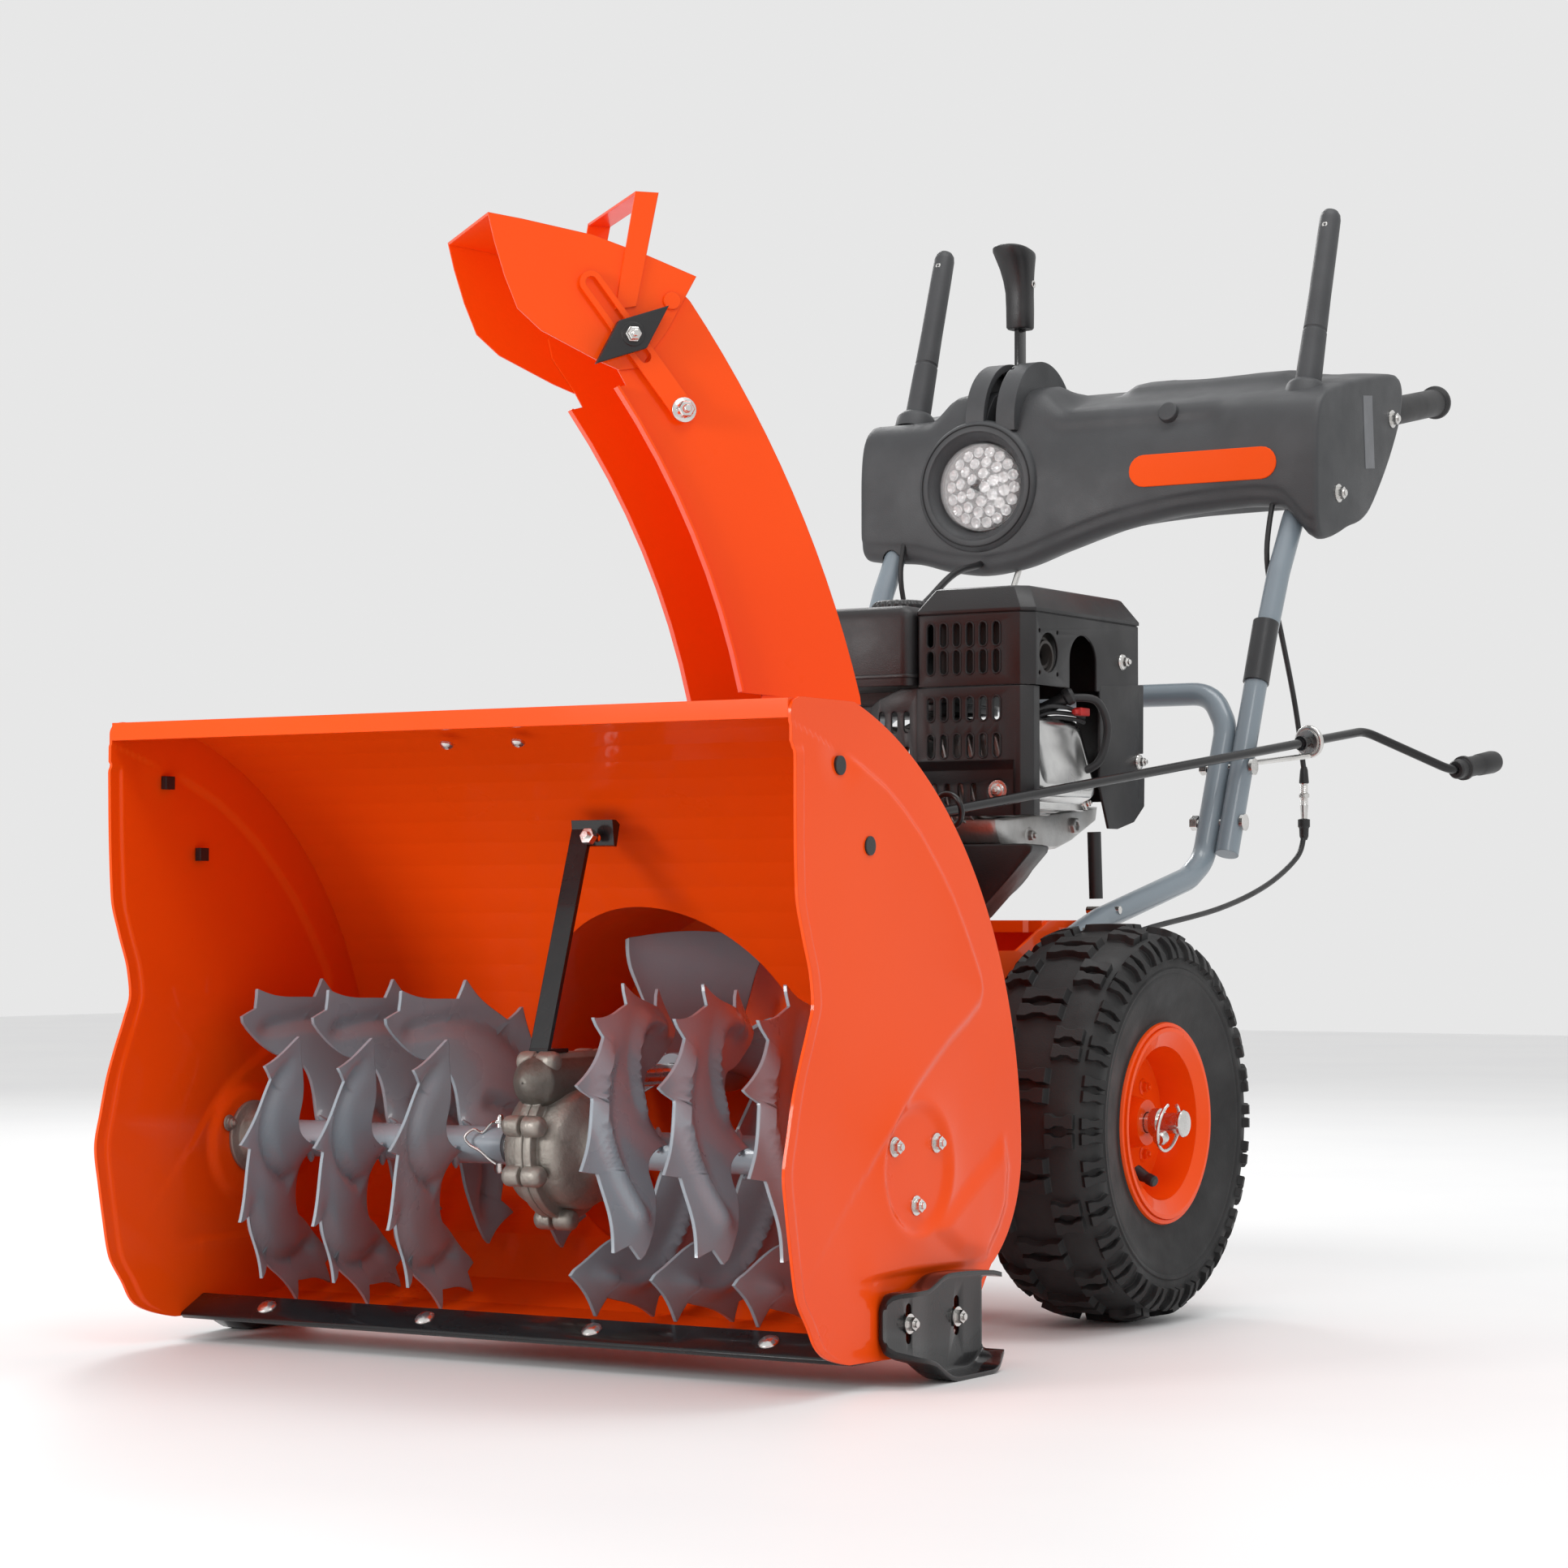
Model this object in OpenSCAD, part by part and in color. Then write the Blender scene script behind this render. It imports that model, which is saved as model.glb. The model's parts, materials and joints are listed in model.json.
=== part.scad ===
// Two-stage walk-behind snow blower, millimetres.
// +Z up, -Y towards the intake, +X towards the operator's left.
// Lengths along Y are counted from the mouth of the intake and moved by mid_y,
// so that the middle of the machine stands over the origin.

/* [Intake] */
// Width over the two side plates
intake_w = 725; // [715:1:735]
// Thickness of a side plate
plate_t = 3; // [2:0.5:4]
// Thickness of the curved intake sheet
sheet_t = 2.5; // [2:0.5:3]
// Height of the auger shaft above the ground
auger_z = 184; // [180:1:188]
// Distance of the auger shaft behind the mouth
auger_y = 197; // [195:1:199]
// Outer diameter of the auger flights
auger_d = 300; // [290:1:304]

/* [Impeller] */
// Height of the impeller shaft above the auger shaft
worm_offset = 60; // [60:1:60]
// Inner radius of the impeller drum
drum_r = 156; // [154:1:157]
// Rear face of the impeller drum
drum_back = 510; // [509:1:512]

/* [Chute] */
// Turning axis of the chute, sideways
chute_x = 57; // [56:1:58]
// Turning axis of the chute, behind the mouth
chute_y = 430; // [429:1:431]
// Angle of the stored chute, from straight ahead towards the right hand side
chute_angle = 40; // [30:1:50]
// Inner width of the chute channel
chute_w = 150; // [146:1:152]
// Sheet thickness of chute and deflector
chute_t = 2.5; // [2:0.5:3]

/* [Wheels] */
// Outer diameter of a tyre
wheel_d = 385; // [380:1:386]
// Width of a tyre
tyre_w = 130; // [126:1:134]
// Distance from the mid-plane to the middle of a tyre
track_half = 290; // [289:1:292]
// Distance of the axle behind the mouth
axle_y = 712; // [710:1:714]

/* [Handles] */
// Outer diameter of the handle tubes
tube_d = 25; // [24:0.5:26]
// Distance from the mid-plane to an upper handle tube
grip_x = 250; // [249:1:251]
// Half width of the control console
console_x = 290; // [288:1:292]

/* [Hidden] */
$fn = 48;

mid_y = 820;
fit = 0.05;
plate_x = intake_w / 2;
inner_x = plate_x - plate_t;
impeller_z = auger_z + worm_offset;
wheel_r = wheel_d / 2;
tube_r = tube_d / 2;

// ---- helpers -------------------------------------------------------------

module placed() { translate([0, -mid_y, 0]) children(); }

module pair() {
    children();
    mirror([1, 0, 0]) children();
}

// a (y, z) outline swept along X
module along_x(x0, x1) {
    translate([x0, 0, 0]) rotate([90, 0, 90]) linear_extrude(x1 - x0) children();
}

// an (x, z) outline swept along Y
module along_y(y0, y1) {
    translate([0, y1, 0]) rotate([90, 0, 0]) linear_extrude(y1 - y0) children();
}

module rod(p, q, r) {
    v = q - p;
    translate(p) rotate([0, acos(v[2] / norm(v)), atan2(v[1], v[0])]) cylinder(h = norm(v), r = r);
}

module bent_rod(points, r) {
    for (i = [0 : len(points) - 2]) rod(points[i], points[i + 1], r);
    for (i = [1 : len(points) - 2]) translate(points[i]) sphere(r * 1.005);
}

module x_cyl(x0, x1, y, z, r) { translate([x0, y, z]) rotate([0, 90, 0]) cylinder(h = x1 - x0, r = r); }

module y_cyl(y0, y1, x, z, r) { translate([x, y1, z]) rotate([90, 0, 0]) cylinder(h = y1 - y0, r = r); }

module box(x, y, z) { translate([x[0], y[0], z[0]]) cube([x[1] - x[0], y[1] - y[0], z[1] - z[0]]); }

function arc(c, r, a0, a1, n) =
    [for (i = [0 : n]) c + r * [cos(a0 + (a1 - a0) * i / n), sin(a0 + (a1 - a0) * i / n)]];

function turned(list) = [for (i = [len(list) - 1 : -1 : 0]) list[i]];

// a smooth curve through hand-set points, for cables and hoses
function blend(p0, p1, p2, p3, t) =
    0.5 * (2 * p1 + (p2 - p0) * t + (2 * p0 - 5 * p1 + 4 * p2 - p3) * t * t
    + (3 * p1 - p0 - 3 * p2 + p3) * t * t * t);
function smooth(p, n) = [
    for (i = [0 : len(p) - 2]) for (k = [0 : n - 1])
        blend(p[max(i - 1, 0)], p[i], p[i + 1], p[min(i + 2, len(p) - 1)], k / n),
    p[len(p) - 1]
];
function unit(v) = v / norm(v);
function along(p, i) = unit(p[min(i + 1, len(p) - 1)] - p[max(i - 1, 0)]);
function across(t) = unit(cross(t, abs(t[0]) > 0.8 ? [0, 1, 0] : [1, 0, 0]));

module cord(points, r, sides = 8, n = 4) {
    p = smooth(points, n);
    m = len(p);
    rings = [for (i = [0 : m - 1]) let (t = along(p, i), a = across(t), b = cross(t, a))
        for (k = [0 : sides - 1]) p[i] + r * (cos(360 * k / sides) * a + sin(360 * k / sides) * b)];
    walls = [for (i = [0 : m - 2]) for (k = [0 : sides - 1]) let (j = (k + 1) % sides)
        [i * sides + k, (i + 1) * sides + k, (i + 1) * sides + j, i * sides + j]];
    ends = [[for (k = [0 : sides - 1]) k], [for (k = [sides - 1 : -1 : 0]) (m - 1) * sides + k]];
    polyhedron(points = rings, faces = concat(walls, ends));
}

// flange bolt along +X, its flange resting on the plane at x
module x_bolt(x, y, z, r = 5) {
    x_cyl(x, x + 1.6, y, z, r * 1.7);
    translate([x + 1.6, y, z]) rotate([0, 90, 0]) cylinder(h = r, r = r * 1.15, $fn = 6);
    x_cyl(x - 2, x + r + 4, y, z, r * 0.6);
}

// ---- intake housing ------------------------------------------------------

orange = [0.95, 0.27, 0.05];
slate = [0.42, 0.45, 0.48];
black = [0.07, 0.07, 0.08];
dark = [0.16, 0.16, 0.17];
steel = [0.75, 0.75, 0.76];
cast = [0.38, 0.35, 0.32];
tube_grey = [0.47, 0.52, 0.56];

back_c = [-14, 183];
back_r = 400;
heel_c = [276, 183];
heel_r = 110;

// (y, z) outline of a side plate
function plate_outline() = concat(
    [[0, 529], [2, 558], [10, 566]],
    arc(back_c, back_r, 74, 0, 18),
    arc(heel_c, heel_r, -8, -60, 6),
    [[291, 47], [240, 31], [158, 22], [92, 23], [35, 41], [3, 86], [-11, 151], [-16, 183],
     [-9, 215], [10, 273], [32, 320], [4, 408]]);

// path of the curved sheet, d inside its outer face
function sheet_path(d) = concat(
    [[-1, 566 - d], [88, 566 - d]],
    arc(back_c, back_r - 3 - d, 73, 0, 18),
    arc(heel_c, heel_r - 3 - d, -8, -60, 6),
    [[290, 51 + d], [240, 34 + d], [158, 26 + d], [104, 27 + d]]);

module intake_space() {
    along_x(-inner_x, inner_x)
        polygon(concat(sheet_path(0), [[-40, 27], [-40, 566]]));
}

module bucket_shell() {
    color(orange) placed() difference() {
        union() {
            along_x(-inner_x, inner_x) polygon(concat(sheet_path(0), turned(sheet_path(sheet_t))));
            box([-inner_x, inner_x], [-2, 1], [550, 566]);
            box([-inner_x, inner_x], [1, 9], [550, 552]);
        }
        y_cyl(250, 420, 0, impeller_z, drum_r);
        y_cyl(205, 260, 17, 462, 4);
    }
}

module side_plate() {
    difference() {
        union() {
            along_x(inner_x, plate_x) polygon(plate_outline());
            along_x(plate_x, plate_x + 2) polygon(concat(
                [[-16, 183], [-9, 215], [10, 273], [32, 320], [4, 408], [0, 529]],
                [[6, 529], [10, 408], [38, 320], [16, 273], [-3, 215], [-10, 183], [-5, 151],
                 [9, 88], [39, 46], [94, 29], [92, 23], [35, 41], [3, 86], [-11, 151]]));
        }
        x_cyl(inner_x - 1, plate_x + 1, auger_y, auger_z, 17);
        for (p = [[71, 514], [119, 449]]) x_cyl(inner_x - 1, plate_x + 1, p[0], p[1], 4.5);
    }
}

module side_plate_left() { color(orange) placed() side_plate(); }
module side_plate_right() { color(orange) placed() mirror([1, 0, 0]) side_plate(); }

module scraper_bar() {
    color(black) placed() along_x(-inner_x, inner_x)
        polygon([[98, 5], [103, 5], [108, 22.5], [160, 20.5], [160, 25], [103, 26.5]]);
}

skid_x = plate_x + 2.2;

module skid_shoes() {
    color(black) placed() pair() difference() {
        union() {
            along_x(skid_x, skid_x + 4) polygon([[132, 82], [148, 80], [195, 89], [302, 83],
                [302, 12], [280, 0], [204, 0], [141, 22], [132, 42]]);
            along_x(skid_x, skid_x + 32) polygon([[141, 26], [204, 4], [280, 4], [308, 20],
                [310, 17], [281, 0], [203, 0], [139, 22]]);
            along_x(skid_x, skid_x + 24) polygon([[148, 84], [195, 93], [302, 87], [302, 83],
                [195, 89], [148, 80]]);
        }
        for (y = [175, 257]) box([skid_x - 1, skid_x + 5], [y - 5, y + 5], [34, 66]);
    }
}

module housing_bolts() {
    color(steel) placed() {
        pair() for (p = [[175, 50], [257, 49]]) x_bolt(skid_x + 4, p[0], p[1], 5);
        pair() for (p = [[161, 198], [232, 198], [197, 147]]) x_bolt(plate_x, p[0], p[1], 5);
        for (x = [-260, -90, 90, 260]) translate([x, 135, 27.2]) {
            cylinder(h = 3, r = 8);
            translate([0, 0, -9]) cylinder(h = 10, r = 3.4);
        }
        translate([17, 214, 462]) rotate([75, 0, 0]) {
            cylinder(h = 7, r = 7.5, $fn = 6);
            translate([0, 0, -4]) cylinder(h = 15, r = 3.4);
        }
    }
}

module plate_plugs() {
    color(black) placed() pair() for (p = [[71, 514], [119, 449]]) {
        x_cyl(inner_x - 4, plate_x + 0.5, p[0], p[1], 4.4);
        x_cyl(plate_x + 0.05, plate_x + 3, p[0], p[1], 8);
        box([inner_x - 6, inner_x - 0.05], [p[0] - 6, p[0] + 6], [p[1] - 6, p[1] + 6]);
    }
}

module auger_bearings() {
    color(cast) placed() pair() difference() {
        union() {
            x_cyl(inner_x - 16, inner_x, auger_y, auger_z, 24);
            x_cyl(inner_x - 4, inner_x, auger_y, auger_z, 34);
            x_cyl(inner_x, plate_x + 4, auger_y, auger_z, 16.9);
        }
        x_cyl(inner_x - 20, plate_x - 1, auger_y, auger_z, 10 + fit);
    }
}

module brace_strap() {
    color(black) placed() difference() {
        union() {
            along_x(-10, 10) polygon([[228, 470], [224, 473], [158, 272], [162, 270]]);
            along_x(-10, 35) polygon([[225, 455], [229, 454], [234, 474], [228, 478], [222, 478]]);
            along_x(-10, 10) polygon([[158, 270], [163, 270], [190, 270], [190, 273.5], [158, 273.5]]);
        }
        y_cyl(150, 260, 17, 462, 3.8);
        translate([0, 178, 260]) cylinder(h = 20, r = 4.3);
    }
}

module impeller_drum() {
    color(orange) placed() difference() {
        union() {
            y_cyl(300, drum_back, 0, impeller_z, drum_r + 3);
            translate([chute_x, chute_y, impeller_z]) cylinder(h = 452 - impeller_z, r = chute_w / 2 + 3);
            translate([chute_x, chute_y, 444]) cylinder(h = 8, r = chute_w / 2 + 20);
        }
        y_cyl(299, drum_back - 3, 0, impeller_z, drum_r);
        translate([chute_x, chute_y, impeller_z]) cylinder(h = 300, r = chute_w / 2);
        y_cyl(400, 520, 0, impeller_z, 10 + fit);
        intake_space();
    }
}

// ---- gearbox, augers and impeller ----------------------------------------

wheel_teeth = 20;
worm_pitch_r = 15;
wheel_pitch_r = worm_offset - worm_pitch_r;
tooth_pitch = 2 * PI * wheel_pitch_r / wheel_teeth;
worm_lead = 2 * tooth_pitch;
tooth_lean = -17;

module gearbox_half() {
    difference() {
        union() {
            x_cyl(0.05, 34, auger_y, auger_z, 62);
            x_cyl(0.05, 48, auger_y, auger_z, 22);
            box([0.05, 26], [auger_y - 44, auger_y + 60], [auger_z + 20, impeller_z + 26]);
            for (a = [20 : 60 : 320])
                x_cyl(0.05, 16, auger_y + 66 * cos(a), auger_z + 66 * sin(a), 9);
            box([0.05, 12], [150, 200], [impeller_z + 20, 270]);
        }
        x_cyl(-1, 24, auger_y, auger_z, 52);
        x_cyl(-1, 60, auger_y, auger_z, 10 + fit);
        y_cyl(auger_y - 34, auger_y + 50, 0, impeller_z, 21);
        y_cyl(100, 300, 0, impeller_z, 10 + fit);
    }
}

module gearbox_left() { color(cast) placed() gearbox_half(); }
module gearbox_right() { color(cast) placed() mirror([1, 0, 0]) gearbox_half(); }

module worm_wheel() {
    color("goldenrod") placed() translate([0, auger_y, auger_z]) difference() {
        union() {
            x_cyl(-9, 9, 0, 0, wheel_pitch_r - 4);
            x_cyl(-16, 16, 0, 0, 18);
            for (i = [0 : wheel_teeth - 1]) rotate([360 * i / wheel_teeth, 0, 0])
                translate([0, 0, wheel_pitch_r - 6]) rotate([0, 0, tooth_lean])
                    translate([-8, -2, 0]) cube([16, 4, 8.5]);
        }
        x_cyl(-20, 20, 0, 0, 10);
    }
}

module impeller_shaft() {
    color(steel) placed() {
        y_cyl(146, 648, 0, impeller_z, 10);
        translate([0, auger_y + worm_lead, impeller_z]) rotate([90, 0, 0])
            linear_extrude(2 * worm_lead, twist = -720, slices = 48, segments = 24) worm_section();
        difference() {
            y_cyl(610, 638, 0, impeller_z, 88);
            translate([0, 624, impeller_z]) rotate([90, 0, 0])
                rotate_extrude() translate([78, 0]) polygon([[0, -5], [14, -9], [14, 9], [0, 5]]);
        }
    }
}

module worm_section() {
    circle(r = 10.5, $fn = 12);
    for (a = [0, 180]) rotate(a) polygon([[9, -5], [18, -3], [18, 3], [9, 5]]);
}

flight_r = auger_d / 2;
flight_pitch = 166;

module flight() {
    linear_extrude(78, twist = -170, slices = 16, segments = 4)
        polygon([[72, 0], [flight_r, 0], [flight_r * cos(9), flight_r * sin(9)], [72 * cos(9), 72 * sin(9)]]);
}

// three pairs of half turns on one tube, pushing towards the middle
module auger(turn) {
    translate([0, auger_y, auger_z]) {
        difference() {
            x_cyl(58, 338, 0, 0, 17);
            x_cyl(50, 340, 0, 0, 12.5);
        }
        for (i = [0 : 2]) for (s = [0, 180])
            translate([72 + 84 * i, 0, 0]) rotate([0, 90, 0]) rotate([0, 0, s + turn]) {
                flight();
                for (k = [0.38, 0.5, 0.62]) rotate([0, 0, 4.5 + 170 * k])
                    translate([14, -7, 78 * k - 5]) cube([66, 14, 10]);
            }
    }
}

module auger_left() { color(slate) placed() auger(105); }
module auger_right() { color(slate) placed() mirror([1, 0, 0]) auger(35); }

module auger_shaft() {
    color(steel) placed() {
        x_cyl(-plate_x + 1.5, plate_x - 1.5, auger_y, auger_z, 10);
        pair() {
            x_cyl(57, 339, auger_y, auger_z, 12.4);
            translate([70, auger_y, auger_z - 24]) cylinder(h = 48, r = 3);
            translate([70, auger_y, auger_z + 20]) cylinder(h = 3, r = 6);
        }
    }
}

module impeller() {
    color(slate) placed() translate([0, 0, impeller_z]) {
        difference() {
            union() {
                y_cyl(372, 478, 0, 0, 20);
                y_cyl(470, 474, 0, 0, 96);
                for (a = [0 : 90 : 270]) rotate([0, a + 12, 0]) {
                    box([12, drum_r - 6], [374, 472], [-2, 2]);
                    box([drum_r - 10, drum_r - 6], [374, 472], [-2, 18]);
                }
            }
            y_cyl(360, 480, 0, 0, 10);
        }
    }
}

// ---- chassis, belt drive and engine --------------------------------------

crank_z = 500;
deck_z = 388;
frame_x = 190;

module main_frame() {
    color(orange) placed() difference() {
        union() {
            pair() along_x(frame_x - 3, frame_x) polygon([[513, 110], [513, 345], [620, 358],
                [700, 358], [770, deck_z], [905, deck_z], [905, 300], [830, 110]]);
            box([-frame_x, frame_x], [drum_back, drum_back + 3], [110, 345]);
            box([-frame_x, frame_x], [770, 905], [deck_z - 3, deck_z]);
            box([-frame_x, frame_x], [902, 905], [300, deck_z]);
            box([-frame_x, frame_x], [drum_back, 830], [107, 110]);
            pair() x_cyl(frame_x - 24, frame_x + 6, axle_y, wheel_r, 22);
            for (y = [718, 758]) box([-frame_x + 3, frame_x - 3], [y, y + 12], [deck_z - 12, deck_z]);
        }
        x_cyl(-frame_x - 10, frame_x + 10, axle_y, wheel_r, 9.5 + fit);
        y_cyl(480, 520, 0, impeller_z, 14);
    }
}

module belt_cover() {
    color(black) placed() difference() {
        along_y(576, 700) polygon([[-86, 352], [86, 352], [152, 462], [152, 520], [110, 566],
            [-110, 566], [-152, 520], [-152, 462]]);
        along_y(579, 701) polygon([[-83, 340], [83, 340], [149, 463], [149, 518], [108, 563],
            [-108, 563], [-149, 518], [-149, 463]]);
    }
}

module impeller_belt() {
    color(black) placed() difference() {
        along_y(618, 630) hull() {
            translate([0, impeller_z]) circle(r = 91.5, $fn = 96);
            translate([0, crank_z]) circle(r = 38.5, $fn = 64);
        }
        along_y(617, 631) hull() {
            translate([0, impeller_z]) circle(r = 88.4, $fn = 96);
            translate([0, crank_z]) circle(r = 35.4, $fn = 64);
        }
    }
}

module engine_pulley() {
    color(steel) placed() {
        y_cyl(600, 740, 0, crank_z, 10);
        y_cyl(612, 636, 0, crank_z, 35);
        y_cyl(608, 612, 0, crank_z, 43);
        y_cyl(636, 640, 0, crank_z, 43);
    }
}

// lean of the engine's cylinder above the level
tilt = 15;

module cylinder_frame() { translate([0, 0, crank_z]) rotate([0, -tilt, 0]) children(); }

module engine_block() {
    color(steel) placed() difference() {
        union() {
            y_cyl(720, 882, 0, crank_z, 88);
            box([-120, 110], [720, 882], [deck_z, 470]);
            box([-150, 130], [724, 876], [deck_z, deck_z + 12]);
            cylinder_frame() {
                box([60, 176], [732, 842], [-44, 44]);
                for (i = [0 : 6]) box([84 + 13 * i, 88 + 13 * i], [722, 850], [-54, 54]);
            }
            box([-120, -40], [740, 840], [470, 600]);
        }
        y_cyl(700, 742, 0, crank_z, 10 + fit);
    }
}

module valve_cover() {
    color(steel) placed() cylinder_frame() {
        box([176, 181], [730, 846], [-52, 46]);
        box([181, 198], [736, 840], [-46, 40]);
    }
}

module muffler() {
    color(cast) placed() difference() {
        union() {
            box([84, 188], [724, 798], [629, 704]);
            x_cyl(188, 198, 748, 650, 17);
        }
        box([87, 185], [727, 795], [632, 701]);
        x_cyl(180, 199, 748, 650, 14);
    }
}

module slots(x0, z0, nx, nz, dx, dz) {
    for (i = [0 : nx - 1]) for (k = [0 : nz - 1])
        box([x0 + i * dx - 3, x0 + i * dx + 3], [705, 722], [z0 + k * dz - 12, z0 + k * dz + 12]);
}

guard_x = [70, 203];
guard_z = [612, 722];

module muffler_guard() {
    color(black) placed() difference() {
        box(guard_x, [712, 953], guard_z);
        box([guard_x[0] - 1, guard_x[1] - 2.5], [714.5, 950], [guard_z[0] - 1, guard_z[1] - 2.5]);
        slots(82, 637, 6, 2, 15, 34);
        x_cyl(190, 210, 748, 650, 22);
        box([199, 210], [808, 850], [600, 655]);
        x_cyl(199, 210, 829, 655, 21);
    }
}

module engine_shroud() {
    color(black) placed() difference() {
        union() {
            box([70, 198], [712, 714.5], [478, 611]);
            box([195.5, 198], [714.5, 724], [478, 611]);
            box([14, 70], [716, 718.5], [470, 606]);
            box([67.5, 70], [712, 718.5], [478, 606]);
        }
        slots(82, 544, 6, 2, 15, 42);
        slots(25, 545, 3, 2, 14, 38);
        slots(86, 498, 3, 1, 14, 30);
        y_cyl(700, 720, 168, 498, 5);
    }
}

module airbox_cover() { color(black) placed() box([-92, 68], [702, 792], [624, 706]); }

module fuel_tank() {
    color(dark) placed() {
        box([-185, 62], [800, 948], [606, 700]);
        translate([-45, 880, 700]) cylinder(h = 8, r = 24);
        box([-120, -60], [842, 880], [590, 606]);
    }
}

module fuel_cap() {
    color(black) placed() translate([-45, 880, 700]) difference() {
        cylinder(h = 27, r = 31);
        translate([0, 0, -1]) cylinder(h = 9.5, r = 24 + fit);
    }
}

module recoil_housing() {
    color(black) placed() difference() {
        union() {
            y_cyl(882.3, 940, 0, crank_z, 104);
            y_cyl(940, 966, 0, crank_z, 78);
            box([-104, -60], [884, 945], [470, 588]);
        }
        y_cyl(900, 970, -82, 560, 3.2);
        for (a = [0 : 45 : 315])
            y_cyl(941, 970, 52 * cos(a), crank_z + 52 * sin(a), 9);
    }
}

module recoil_grip() {
    color(black) placed() {
        y_cyl(967, 975, -82, 560, 8);
        x_cyl(-112, -52, 981, 560, 9);
        y_cyl(905, 970, -82, 560, 2.2);
    }
}

module side_panel() {
    color(black) placed() {
        difference() {
            box([199, 201.5], [862, 953], [500, 611]);
            x_cyl(190, 210, 953, 553, 6);
        }
        box([199, 201.5], [880, 936], [474, 500]);
        box([150, 201.5], [950.5, 953], [500, 611]);
    }
}

module spark_lead() {
    color(black) placed() {
        cord([[184, 822, 614], [204, 844, 612], [210, 858, 590], [208, 858, 566], [202, 852, 548],
              [190, 845, 540]], 4.2);
        rod([162, 812, 602], [186, 822, 615], 7);
    }
}

module drain_hose() {
    color(black) placed() rod([200, 848, 478], [201, 850, 410], 7);
}

// ---- handles and controls ------------------------------------------------

// the two tubes run side by side along this line of the YZ plane
function on_bar(z) = 1064 + (z - 473) * 0.406;

module lower_handle() {
    color(tube_grey) placed() {
        pair() bent_rod([[203, 782, 366], [204, 850, 388], [222, 1020, 432], [224, on_bar(452), 452],
            [224, on_bar(596), 596], [218, on_bar(618), 618], [200, on_bar(631), 631],
            [180, on_bar(634), 634], [-1, on_bar(634), 634]], tube_r);
    }
}

module upper_handles() {
    color(tube_grey) placed() pair() {
        bent_rod([[grip_x, on_bar(466), 466], [grip_x, 1131, 638], [grip_x, 1167, 712],
            [grip_x, 1194, 768], [grip_x, 1239, 839], [grip_x, 1280, 870], [grip_x, 1400, 952],
            [grip_x, 1440, 968], [grip_x, 1650, 1009.4]], tube_r);
        for (x = [grip_x - 17, grip_x + 14.5]) difference() {
            along_x(x, x + 2.5) polygon([[1250, 955], [1274, 955], [1318, 890], [1268, 856]]);
            x_cyl(x - 1, x + 4, 1262, 945, 5);
        }
    }
}

module handle_grips() {
    color(black) placed() pair() difference() {
        union() {
            rod([grip_x, 1470, 973.9], [grip_x, 1650, 1009.4], 16.5);
            rod([grip_x, 1648, 1009], [grip_x, 1653, 1010], 20);
        }
        rod([grip_x, 1460, 971.9], [grip_x, 1650, 1009.4], tube_r);
    }
}

module handle_bolts() {
    color(steel) placed() pair() {
        for (z = [492, 552]) {
            x_cyl(grip_x + tube_r - 1, grip_x + tube_r + 3, on_bar(z), z, 9);
            x_cyl(205, grip_x + tube_r, on_bar(z), z, 4);
            translate([203, on_bar(z), z]) rotate([0, 90, 0]) cylinder(h = 8, r = 8, $fn = 6);
        }
        for (p = [[1265, 860], [1419, 960]]) {
            x_bolt(console_x, p[0], p[1], 6);
            x_cyl(grip_x - 16, console_x, p[0], p[1], 3.6);
        }
        x_cyl(grip_x - 17, grip_x + 17, 1262, 945, 5);
        for (y = [800, 868]) x_cyl(frame_x - 8, 203 + tube_r + 4, y, 371 + (y - 782) * 0.32, 4);
    }
}

console_side = [[1212, 849], [1210, 946], [1236, 972], [1281, 990], [1388, 1016], [1444, 1020],
    [1459, 1000], [1451, 962], [1410, 905], [1355, 844], [1316, 830], [1286, 814], [1256, 804],
    [1222, 804]];
console_front = [[-290, 1060], [-290, 812], [-262, 803], [-215, 814], [-170, 792], [-130, 784],
    [-95, 787], [-40, 807], [40, 829], [120, 841], [235, 842], [262, 834], [276, 806],
    [290, 803], [290, 1060]];

module console_outer() {
    intersection() {
        along_x(-console_x, console_x) polygon(concat(console_side, [[1212, 784]]));
        along_y(1100, 1500) polygon(console_front);
    }
}

lamp_x = -132;
lamp_z = 888;
shift_x = -115;
shift_y = 1280;
shift_z = 962;

module console() {
    color(dark) placed() difference() {
        union() {
            console_outer();
            y_cyl(1197, 1240, lamp_x, lamp_z, 68);
        }
        along_x(-console_x + 4, console_x - 4) translate([4, -5])
            polygon(concat(console_side, [[1212, 700]]));
        y_cyl(1190, 1260, lamp_x, lamp_z, 52);
        for (s = [-1, 1]) box([s * grip_x - 17, s * grip_x + 17], [1248, 1500], [930, 1040]);
        box([shift_x - 34, shift_x + 34], [1204, 1356], [948, 1040]);
        for (s = [-1, 1]) for (p = [[1265, 860], [1419, 960]])
            x_cyl(s * console_x - 6, s * console_x + 6, p[0], p[1], 4);
        for (s = [-1, 1]) rod([s * grip_x, 1194, 768], [s * grip_x, 1239, 839], tube_r + 1);
    }
}

module head_lamp() {
    color([0.85, 0.88, 0.9]) placed() {
        difference() {
            y_cyl(1203, 1262, lamp_x, lamp_z, 51.9);
            y_cyl(1200, 1210, lamp_x, lamp_z, 46.5);
        }
        y_cyl(1206, 1212, lamp_x, lamp_z, 46);
    }
}

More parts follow.
